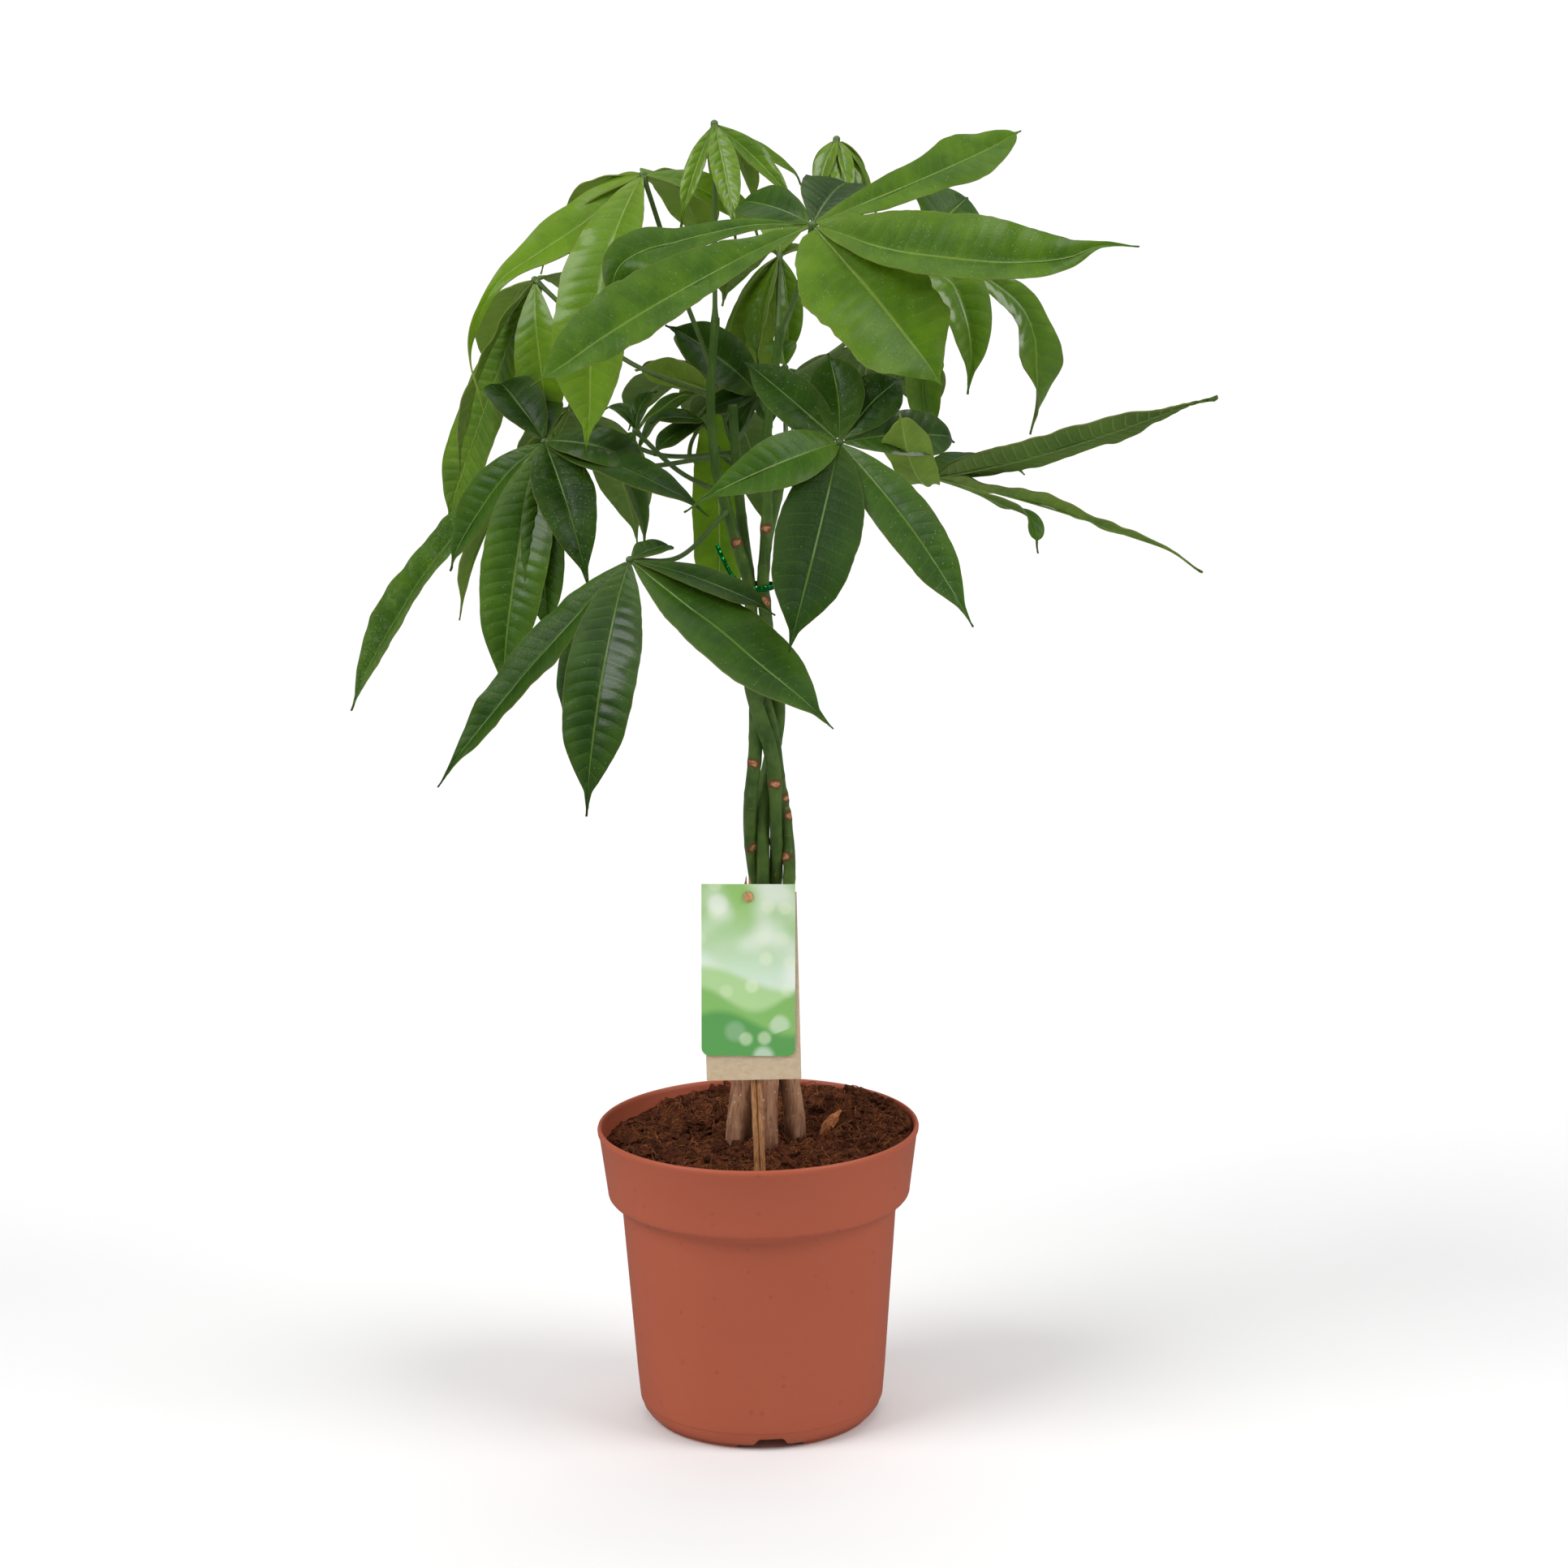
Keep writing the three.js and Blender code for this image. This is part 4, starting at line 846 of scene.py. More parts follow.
def print_material():
    """Coated card with a soft print: pale light over green waves, and a few blurred spots."""
    made, n, shader = material("printed card", 0.3, 0.4)
    uv = n.node("ShaderNodeUVMap", uv_map="print").outputs["UV"]
    across, up, _ = n.split(uv)
    card = n.scaled(uv, (1.0, 1.83, 1.0))  # so that a spot is round on the upright card
    ground = n.mix(n.ramp_share(up, 0.2, 1.0), srgb(222, 238, 226), srgb(152, 200, 112))
    ground = n.tint(ground, srgb(248, 251, 246), n.ramp_share(n.noise(card, 1.8, 1.0), 0.4, 0.7), 0.7)
    for height, swing, colour in (
        (0.46, 3.4, srgb(176, 212, 150)), (0.34, 5.2, srgb(134, 186, 104)), (0.2, 4.1, srgb(92, 158, 84)),
    ):
        wave = n.times(n.math("SINE", n.times(n.plus(across, height), swing)), 0.07)
        ground = n.mix(n.ramp_share(n.minus(n.plus(wave, height), up), -0.02, 0.04), ground, colour)
    for scale, seed, colour in ((2.4, 0.0, srgb(252, 254, 250)), (3.6, 7.0, srgb(236, 246, 214))):
        shifted = n.node("ShaderNodeMapping")
        n.feed(shifted.inputs["Vector"], card)
        shifted.inputs["Location"].default_value = (seed, seed, 0)
        cells = n.cells(shifted.outputs["Vector"], scale, voronoi_dimensions="2D")
        disc = n.rest(n.ramp_share(cells["Distance"], 0.16, 0.34))
        chosen = n.ramp_share(n.split(cells["Color"])[1], 0.45, 0.9)
        ground = n.tint(ground, colour, n.times(disc, chosen), 0.4)
    n.feed(shader["Base Color"], ground)
    n.feed(shader["Normal"], n.bump(n.noise(n.object_place(), 1500.0, 2.0), 0.05, 0.0002))
    return made


def fibre_material(name, light, dark, stretch, scale, roughness):
    """Board, bamboo and wood: fine fibres drawn out along one way."""
    made, n, shader = material(name, roughness, 0.35)
    place = n.scaled(n.object_place(), stretch)
    fibres = n.noise(place, scale, 5.0, 0.7)
    flecks = n.ramp_share(n.noise(place, scale * 2.3, 3.0, 0.7), 0.6, 0.72)
    base = n.mix(n.ramp_share(fibres, 0.35, 0.65), dark, light)
    base = n.tint(base, dark, flecks, 0.3)
    n.feed(shader["Base Color"], base)
    n.feed(shader["Normal"], n.bump(fibres, 0.35, 0.0003))
    return made


LEAF_UPPER = leaf_material(
    "leaf upper side", (srgb(34, 64, 12), srgb(64, 102, 20), srgb(110, 148, 20)),
    (srgb(100, 132, 52), srgb(152, 178, 72)), 0.36, False)
LEAF_UNDER = leaf_material(
    "leaf underside", (srgb(74, 96, 42), srgb(92, 120, 50), srgb(132, 160, 58)),
    (srgb(120, 140, 78), srgb(164, 184, 96)), 0.6, True)
RIB = rib_material()
BARK = stem_material()
POT = pot_material()
# Each soil's lighter colour is a painted highlight for its crests and its darker one painted shade for its
# hollows, over its own colour.
SOIL = soil_material("coir and peat", srgb(146, 80, 48), srgb(40, 18, 11))
CRUMB = soil_material("peat crumbs", srgb(138, 76, 46), srgb(34, 17, 11))
COIR = soil_material("coir fibres", srgb(206, 134, 82), srgb(98, 50, 28))
FOIL = foil_material()
PRINT = print_material()
CARD_BACK = fibre_material(
    "card edge and back", srgb(238, 238, 232), srgb(222, 222, 214), (1, 1, 1), 600.0, 0.6)
KRAFT = fibre_material("kraft board", srgb(196, 177, 149), srgb(186, 164, 134), (0.6, 1, 1), 420.0, 0.8)
BAMBOO = fibre_material("split bamboo", srgb(178, 128, 82), srgb(126, 82, 48), (1, 1, 0.02), 1500.0, 0.5)
WOOD = fibre_material("turned wood", srgb(214, 164, 114), srgb(176, 124, 80), (1, 1, 0.3), 900.0, 0.5)
CHIP = fibre_material("bark chip", srgb(204, 134, 82), srgb(134, 74, 42), (0.3, 1, 1), 700.0, 0.75)


# ---- Stems ----

def at_height(path, z):
    return min(path, key=lambda p: abs(p.z - z))


PLAIT = smooth_path(PLAIT_AXIS, 60)
# The stems of one pair cross a little higher than those of the other, and beside them, so that the plait
# stays about as wide at its crossings as between them.
CROSSING_LAG = 12
CROSSING_SHIFT = 4
LOOSE_FROM = (225, 265)  # the heights over which this begins, and those over which it ends
LOOSE_UNTIL = (385, 425)
LUMPY_FOOT = (175, 225)  # the foot's lumps fade out between these heights
RING_RISE = 0.22  # how far the faint rings round a stem stand out
RING_PACE = 95  # how closely they follow each other
STEM_BROADER = 0.6  # how much fuller a stem is round the plait than the solid


def polar(z, azimuth, radius):
    middle = at_height(PLAIT, z)
    angle = math.radians(azimuth)
    return Vector((middle.x + radius * math.cos(angle), middle.y + radius * math.sin(angle), z))


def stem_path(name):
    hand, azimuth, (soil_azimuth, spread, _), _, top = STEMS[name]
    pair = 1 if azimuth == 90 else -1
    points = [
        polar(ROOT_Z, soil_azimuth, spread),
        polar(SOIL_LINE_Z, soil_azimuth, spread),
        polar(SPREAD_END_Z, soil_azimuth, spread * SPREAD_END),
    ]
    for i in range(WEAVE_POINTS + 1):
        z = lerp(WEAVE_START_Z, WEAVE_END_Z, i / WEAVE_POINTS)
        loose = pair * smoothstep(z, *LOOSE_FROM) * (1 - smoothstep(z, *LOOSE_UNTIL))
        turned = 90 * (z - FRONT_CROSSING_Z + CROSSING_LAG * loose) / QUARTER_TURN
        swing = WEAVE_SWING * math.cos(math.radians(2 * turned))
        point = polar(z, azimuth + hand * turned, WEAVE_RADIUS - hand * swing)
        point.x += CROSSING_SHIFT * loose * math.cos(math.radians(turned)) ** 2
        points.append(point)
    bundled = azimuth + hand * BUNDLE_TURN
    points += [polar(TIE_Z_BELOW, bundled, RADIUS_BELOW_TIE), polar(TIE_Z, bundled, TIE_RADIUS)]
    return smooth_path([*points, *top])


STEM_PATHS = {name: stem_path(name) for name in STEMS}
# Old leaf scars: stem, height and the way each looks, as an azimuth in degrees.
SCARS = [
    ("stem_2", 356, 255), ("stem_1", 345, 270), ("stem_3", 335, 320), ("stem_3", 325, 325),
    ("stem_2", 310, 300), ("stem_3", 304, 235), ("stem_1", 470, 285), ("stem_2", 478, 265),
    ("stem_1", 433, 250), ("stem_1", 250, 300), ("stem_2", 262, 280), ("stem_2", 440, 285),
    ("stem_3", 385, 90), ("stem_4", 240, 80), ("stem_3", 232, 110), ("stem_4", 400, 60),
    ("stem_2", 420, 20), ("stem_1", 295, 90), ("stem_4", 345, 100),
]
SCAR_SIZE = (3.4, 4.2)  # half its height, half its width
STEM_SIDES = 28
STEM_STEPS = 340


def add_stem(bm, name, marks):
    _, _, (_, _, foot_radius), tip_radius, _ = STEMS[name]
    path = even_steps(STEM_PATHS[name], STEM_STEPS)
    frames = path_frames(path)
    scars = [(z, math.radians(azimuth)) for stem, z, azimuth in SCARS if stem == name]

    def radius_at(share):
        base = smoothstep(share, *FOOT_SHARE)
        tip = smoothstep(share, TIP_SHARE, 1)
        ring = RING_RISE * max(0.0, math.cos(share * RING_PACE)) ** 12
        return lerp(lerp(foot_radius, STEM_RADIUS, base), tip_radius, tip) + ring

    def way_at(share, angle):
        _, side, other = frames[round(share * STEM_STEPS)]
        return side * math.cos(angle) + other * math.sin(angle)

    def scar_place(share, angle):
        """How far up and round from the nearest leaf scar this is, in half sizes of a scar."""
        p, way = path[round(share * STEM_STEPS)], way_at(share, angle)
        z, azimuth = min(scars, key=lambda scar: abs(scar[0] - p.z))
        turned = (math.atan2(way.y, way.x) - azimuth + math.pi) % math.tau - math.pi
        return (p.z - z) / SCAR_SIZE[0], turned * radius_at(share) / SCAR_SIZE[1]

    def shape(share, angle):
        p, way = path[round(share * STEM_STEPS)], way_at(share, angle)
        foot = 1 - smoothstep(p.z, *LUMPY_FOOT)
        middle = at_height(PLAIT, p.z)
        round_plait = Vector((middle.y - p.y, p.x - middle.x, 0)).normalized()
        below_tie = 1 - smoothstep(p.z, TIE_Z_BELOW - 10, TIE_Z_BELOW)
        broader = STEM_BROADER * way.dot(round_plait) ** 2 * below_tie
        lumps = noise.noise(Vector((way.x * 1.6, way.y * 1.6, p.z * 0.035)) + Vector((foot_radius, 0, 0)))
        from_scar = math.hypot(*scar_place(share, angle))
        knot = 0.6 * (1 - smoothstep(from_scar, 0.6, 1.6)) - 0.3 * (1 - smoothstep(from_scar, 0, 0.7))
        return lumps * (0.25 + 1.1 * foot) + knot + broader

    def note_on(v, share, angle):
        v[marks] = Vector((*scar_place(share, angle), 0))

    add_tube(bm, path, radius_at, STEM_SIDES, 0, shape, note_on)


def build_stems():
    for name in STEMS:
        bm = bmesh.new()
        marks = bm.verts.layers.float_vector.new("scar")
        add_stem(bm, name, marks)
        piece(name + "_bark", bm, [BARK], "stem", name)


# ---- Leaves ----

class Leaflet:
    """Where a leaflet's midrib runs, and how its blade stands on it."""

    def __init__(self, hub, face, spec, draw):
        tip, self.width, arch, roll, self.fullness, *own = spec
        self.habit = {**HABIT, **(own[0] if own else {})}
        self.seed, self.own = draw.uniform(0, 50), draw.random()
        hub, chord = Vector(hub), Vector(tip)
        self.length = chord.length
        along = chord.normalized()
        side = along.cross(face).normalized()
        lift = side.cross(along)
        bow = self.habit["bow"] + draw.uniform(-2, 2)
        self.fold = self.habit["fold"] * draw.uniform(0.8, 1.2)
        self.twist = math.radians(self.habit["twist"] + draw.uniform(-8, 8))
        self.roll = math.radians(roll)
        if self.habit["via"]:
            line = smooth_path([Vector(), *self.habit["via"], chord])
        else:
            control = chord * BLADE_CREST + lift * 2 * arch
            shares = [k / 80 for k in range(81)]
            line = [control * 2 * t * (1 - t) + chord * t * t for t in shares]
        path = even_steps(line, BLADE_ALONG)
        self.path = []
        for k, place in enumerate(path):
            share = k / BLADE_ALONG
            hooked = self.habit["hook"] * smoothstep(share, 0.8, 1) ** 2
            self.path.append(hub + place + side * bow * math.sin(math.pi * share) - lift * hooked)
        self.frames = []
        for k in range(BLADE_ALONG + 1):
            tangent = (self.path[min(k + 1, BLADE_ALONG)] - self.path[max(k - 1, 0)]).normalized()
            side = (side - tangent * side.dot(tangent)).normalized()
            turn = self.roll + self.twist * smoothstep(k / BLADE_ALONG, self.habit["twist_from"], 1)
            across = Matrix.Rotation(turn, 3, tangent) @ side
            self.frames.append((across, across.cross(tangent)))

    def at(self, k):
        """(point on the midrib, the way across, the way up) at step k of its length."""
        return self.path[k], *self.frames[k]

    def half(self, share):
        """Half the blade's width: an outline that closes early, and the tapered tail that goes on from it."""
        point, widest = self.habit["point"], self.habit["widest"]
        body = min(share / (1 - 0.5 * point), 1)
        power = BLADE_POWER / self.fullness
        grow, close = power * widest, power * (1 - widest)
        outline = (body / widest) ** grow * ((1 - body) / (1 - widest)) ** close
        tail = self.habit["tail"] * ((1 - share) / point) ** 1.15 * smoothstep(share, 0.5, 0.8)
        least = lerp(ROOT_WIDTH, TIP_WIDTH, share) / 2
        return max(math.hypot(outline, tail) * self.width / 2, least)

    def vein_phase(self, share, reach):
        """Counts the side veins passed so far, with a whole number on each vein."""
        along = share * self.length
        wobble = 0.16 * noise.noise(Vector((along * 0.05, reach * 1.5, self.seed)))
        other_half = 0.42 if reach > 0 else 0
        return along / VEIN_SPACING + other_half - VEIN_LEAN * abs(reach) ** 1.4 + wobble

    def surface(self, k, reach):
        """(the point of the blade, its vein phase) at step k and at reach, from -1 to 1 across it."""
        middle, across, up = self.at(k)
        share = k / BLADE_ALONG
        edge, hand = abs(reach), 1 if reach > 0 else -1
        half = self.half(share) * (1 + hand * self.habit["skew"])
        phase = self.vein_phase(share, reach)
        rise = self.fold * half * (1.6 * edge - 0.75 * edge * edge)
        along = share * self.length
        place = Vector((along * 0.05, hand * 3.7, self.seed))
        ripple = noise.noise(place) + 0.5 * noise.noise(place * 2.3)
        rise += self.habit["waves"] * 2.1 * ripple * edge ** 2 * smoothstep(half, 1.0, 8.0)
        sway = noise.noise(Vector((along * 0.025, hand * 0.3 * edge, self.seed + 9)))
        rise += 1.6 * sway * smoothstep(half, 2, 12)
        quilt = 0.5 - 0.5 * math.cos(math.tau * phase)
        rise += QUILT * self.habit["ribs"] * quilt * smoothstep(edge, 0, 0.3) * (1 - smoothstep(edge, 0.8, 1))
        ragged = 1 + self.habit["ragged"] * (noise.noise(place * 1.7) + 0.6 * noise.noise(place * 5.3))
        return middle + across * reach * half * ragged + up * rise, phase


def blade_of(leaflet, tone):
    blade = bmesh.new()
    blade_marks = blade.verts.layers.float_vector.new("leaflet")
    blade_habits = blade.verts.layers.float_vector.new("habit")
    shine = blade.verts.layers.float.new("gloss")
    bmesh.ops.create_grid(blade, x_segments=BLADE_ACROSS, y_segments=BLADE_ALONG, size=0.5)
    first = math.ceil(BLADE_START / leaflet.length * BLADE_ALONG)
    for v in blade.verts:
        reach, k = 2 * v.co.x, max(round((v.co.y + 0.5) * BLADE_ALONG), first)
        v.co, phase = leaflet.surface(k, reach)
        v[blade_marks] = Vector((phase, reach, leaflet.habit["dust"] * leaflet.own))
        v[blade_habits] = Vector((tone, leaflet.habit["ribs"], k / BLADE_ALONG))
        v[shine] = leaflet.habit["gloss"]
    bmesh.ops.remove_doubles(blade, verts=blade.verts, dist=MERGE)
    for e in blade.edges:
        e.smooth = not e.is_boundary
    bmesh.ops.recalc_face_normals(blade, faces=blade.faces)
    middle, _, up = leaflet.at(BLADE_ALONG // 2)
    central = min(blade.faces, key=lambda f: (f.calc_center_median() - middle).length)
    if central.normal.dot(up) < 0:
        bmesh.ops.reverse_faces(blade, faces=blade.faces)
    upper = set(blade.faces)
    bmesh.ops.solidify(blade, geom=list(upper), thickness=BLADE_THICKNESS)
    for f in blade.faces:
        f.smooth = True
        f.material_index = 0 if f in upper else 1
    return blade


def note(verts, marks, mark, habits, habit):
    for v in verts:
        v[marks], v[habits] = Vector(mark), Vector(habit)


def build_leaf(name, spec, *nodes):
    stem, start_z, hub, face, tone, leaflets = spec
    face, hub = Vector(face).normalized(), Vector(hub)
    draw = random.Random(name)
    bm = bmesh.new()
    marks = bm.verts.layers.float_vector.new("leaflet")
    habits = bm.verts.layers.float_vector.new("habit")
    bm.verts.layers.float.new("gloss")
    thick, thin = MIDRIB_RADIUS
    blades = []
    for row in leaflets:
        leaflet = Leaflet(hub, face, row, draw)
        leaflet_tone = min(max(tone + leaflet.habit["tone"] + draw.uniform(-TONE_SPREAD, TONE_SPREAD), 0), 1)
        blades.append(blade_of(leaflet, leaflet_tone))
        steps = [round(k * MIDRIB_END * BLADE_ALONG / MIDRIB_STEPS) for k in range(MIDRIB_STEPS + 1)]
        radii = [lerp(thick, thin, (k / BLADE_ALONG) ** 0.7) for k in steps]
        line = [
            leaflet.path[k] - leaflet.frames[k][1] * MIDRIB_SUNK * radius
            for k, radius in zip(steps, radii)
        ]
        rib = add_tube(bm, line, lambda s: radii[round(s * MIDRIB_STEPS)], 8, 2)
        note(rib, marks, (0, 0, 0), habits, (leaflet_tone, 0, 0))
    root = at_height(STEM_PATHS[stem], start_z)
    reach = hub - root
    middle = root + reach * 0.5 - Vector((0, 0, STALK_SAG * math.hypot(reach.x, reach.y)))
    line = even_steps(smooth_path([root, middle, hub]), STALK_STEPS)

    def swollen(share):
        foot, head = math.exp(-((share / 0.05) ** 2)), math.exp(-(((1 - share) / 0.04) ** 2))
        return STALK_RADIUS + 0.9 * foot + 0.7 * head

    note(add_tube(bm, line, swollen, 10, 2), marks, (0, 0, 1), habits, (tone, 0, 0))
    at_hub = Matrix.Translation(hub)
    knob = bmesh.ops.create_icosphere(bm, subdivisions=2, radius=HUB_RADIUS, matrix=at_hub)["verts"]
    for f in {f for v in knob for f in v.link_faces}:
        f.material_index = 2
        f.smooth = True
    note(knob, marks, (0, 0, 1), habits, (tone, 0, 0))
    finish = "leaf_bright" if tone >= BRIGHT_TONE else "leaf_dark"
    piece(name + "_blades", joined([bm, *blades]), [LEAF_UPPER, LEAF_UNDER, RIB], finish, *nodes)


# ---- Pot ----

def build_pot():
    outside = [
        (FOOT_RADIUS, FOOT_RING), (FOOT_RADIUS + 1.6, 2.2), (FOOT_RADIUS + 4, 4), (FOOT_RADIUS + 5.8, 6.6),
        (WALL_FOOT_RADIUS - 1.2, MOULD_LINE_Z - 0.8), (WALL_FOOT_RADIUS - 1.12, MOULD_LINE_Z - 0.3),
        (WALL_FOOT_RADIUS - 0.72, MOULD_LINE_Z), (WALL_FOOT_RADIUS - 0.62, MOULD_LINE_Z + 0.5),
        (WALL_FOOT_RADIUS, WALL_FOOT_Z), (WALL_FOOT_RADIUS + 0.7, WALL_FOOT_Z + 8),
        (WALL_TOP_RADIUS - 0.3, WALL_TOP_Z - 5), (WALL_TOP_RADIUS + 0.3, WALL_TOP_Z - 1.4),
        (WALL_TOP_RADIUS + 1.3, WALL_TOP_Z - 0.3), (BAND_FOOT_RADIUS - 3, WALL_TOP_Z),
        (BAND_FOOT_RADIUS - 1.3, WALL_TOP_Z + 0.6), (BAND_FOOT_RADIUS - 0.35, WALL_TOP_Z + 1.8),
        (BAND_FOOT_RADIUS, BAND_FOOT_Z), (BAND_FOOT_RADIUS + 0.2, BAND_FOOT_Z + 2),
        (RIM_RADIUS - 0.9, POT_HEIGHT - 4), (RIM_RADIUS - 0.15, POT_HEIGHT - 3),
        (RIM_RADIUS, POT_HEIGHT - 1.6), (RIM_RADIUS - 0.3, POT_HEIGHT - 0.6),
        (RIM_RADIUS - 0.9, POT_HEIGHT - 0.05), (RIM_RADIUS - 1.6, POT_HEIGHT - 0.1),
        (RIM_RADIUS - 2.1, POT_HEIGHT - 0.6),
    ]
    inside = [
        (RIM_RADIUS - WALL - 0.8, POT_HEIGHT - 2.5), (BAND_FOOT_RADIUS - WALL - 1, BAND_FOOT_Z + 1.5),
        (WALL_TOP_RADIUS - WALL, WALL_TOP_Z + 2), (WALL_FOOT_RADIUS - WALL, WALL_FOOT_Z + 2),
        (FOOT_RADIUS + 4, FLOOR_Z + WALL + 3), (FOOT_RADIUS, FLOOR_Z + WALL), (0, FLOOR_Z + WALL),
    ]
    underside = [
        (0, FLOOR_Z), (FOOT_RADIUS - 6, FLOOR_Z), (FOOT_RADIUS - WALL - 0.6, FLOOR_Z - 2),
        (FOOT_RADIUS - WALL - 0.6, FOOT_RING),
    ]
    bm = spun([(r, 0, z) for r, z in [*underside, *outside, *inside]], (0, 0, 1), POT_SIDES)
    body = piece("pot_shell", bm, [POT], "pot_plastic", "pot")

    ring = bmesh.new()
    outer, inner = FOOT_RADIUS + 0.4, FOOT_RADIUS - 4.6
    section = [
        (inner + 0.4, 0), (outer - 0.4, 0), (outer, 0.4),
        (outer, FOOT_RING + 0.4), (inner, FOOT_RING + 0.4), (inner, 0.4),
    ]
    half_gap = math.asin(RING_GAP / 2 / FOOT_RADIUS)
    segment = math.tau / NOTCH_COUNT - 2 * half_gap
    for i in range(NOTCH_COUNT):
        start = NOTCH_TURN + i * math.tau / NOTCH_COUNT + half_gap - math.pi / 2
        turn = Matrix.Rotation(start, 3, "Z")
        face = ring.faces.new([ring.verts.new(turn @ Vector((r, 0, z))) for r, z in section])
        bmesh.ops.spin(ring, geom=[face], cent=(0, 0, 0), axis=(0, 0, 1), angle=segment, steps=36)
    bmesh.ops.recalc_face_normals(ring, faces=ring.faces)
    piece("pot_foot_ring", ring, [POT], "pot_plastic", "pot")

    cutter = bmesh.new()
    for i in range(NOTCH_COUNT):
        turn = Matrix.Rotation(NOTCH_TURN + i * math.tau / NOTCH_COUNT, 4, "Z")
        block = bmesh.ops.create_cube(cutter, size=1.0)["verts"]
        for v in block:
            width, height = (NOTCH_BOTTOM + 2, -1) if v.co.z < 0 else (NOTCH_TOP, NOTCH_HEIGHT)
            v.co = Vector((v.co.x * width, -FOOT_RADIUS + 2 + v.co.y * 20, height))
        upper = [v for v in block if v.co.z > 0]
        rounded = list({e for v in upper for e in v.link_edges if abs(e.verts[0].co.y - e.verts[1].co.y) > 1})
        bmesh.ops.transform(cutter, matrix=turn, verts=block)
        bmesh.ops.bevel(
            cutter, geom=rounded, offset=1.2, segments=3, profile=0.5, affect="EDGES", material=-1)
    bmesh.ops.recalc_face_normals(cutter, faces=cutter.faces)
    cut(body, cutter)


def cut(body, cutter):
    """Cuts the cutter's shape out of the piece."""
    bmesh.ops.scale(cutter, vec=(MM, MM, MM), verts=cutter.verts)
    mesh = bpy.data.meshes.new("cutter")
    cutter.to_mesh(mesh)
    cutter.free()
    tool = bpy.data.objects.new("cutter", mesh)
    bpy.context.scene.collection.objects.link(tool)
    modifier = body.modifiers.new("notches", "BOOLEAN")
    modifier.operation, modifier.solver, modifier.object = "DIFFERENCE", "EXACT", tool
    evaluated = body.evaluated_get(bpy.context.evaluated_depsgraph_get())
    done = bpy.data.meshes.new_from_object(evaluated)
    body.modifiers.remove(modifier)
    body.data = done
    bpy.data.objects.remove(tool)


# ---- Soil ----

SOIL_HEAP = 6.5
BED_RINGS = 72
BED_SIDES = 200
SKIRT_Z = 130
CRUMBS = 2300
FIBRES = 1150
FIBRE_STEPS = 7
FIBRE_BEND = 0.35
FIBRE_THICK = (0.12, 0.36)
CHIP_PLACE = (38, 4)
CHIP_SIZE = (17, 6, 3)
CHIP_TURN = 0.5
CHIP_TILT = -0.75
CHIP_LIFT = 4.5


def soil_height(x, y):
    lumps = 1.4 * math.sin(x / 9 + 1) * math.cos(y / 11) + 0.9 * math.sin(x / 5 - y / 6)
    return SOIL_TOP + SOIL_SLOPE[0] * x + SOIL_SLOPE[1] * y + lumps


def rough_soil(x, y):
    """Clods and hollows, heaped up towards the rim at the back and on the right."""
    p = Vector((x, y, 0))
    clods = 2.2 * noise.noise(p * 0.085) + 2.4 * noise.fractal(p * 0.17, 0.75, 2.0, 4)
    clods += 1.1 * noise.noise(p * 0.5)
    near_edge = smoothstep(math.hypot(x, y), SOIL_RADIUS - 5, SOIL_RADIUS)
    heap = SOIL_HEAP * smoothstep(0.55 * x + 0.83 * y, -5, 70)
    return soil_height(x, y) + clods * (1 - 0.6 * near_edge) + heap


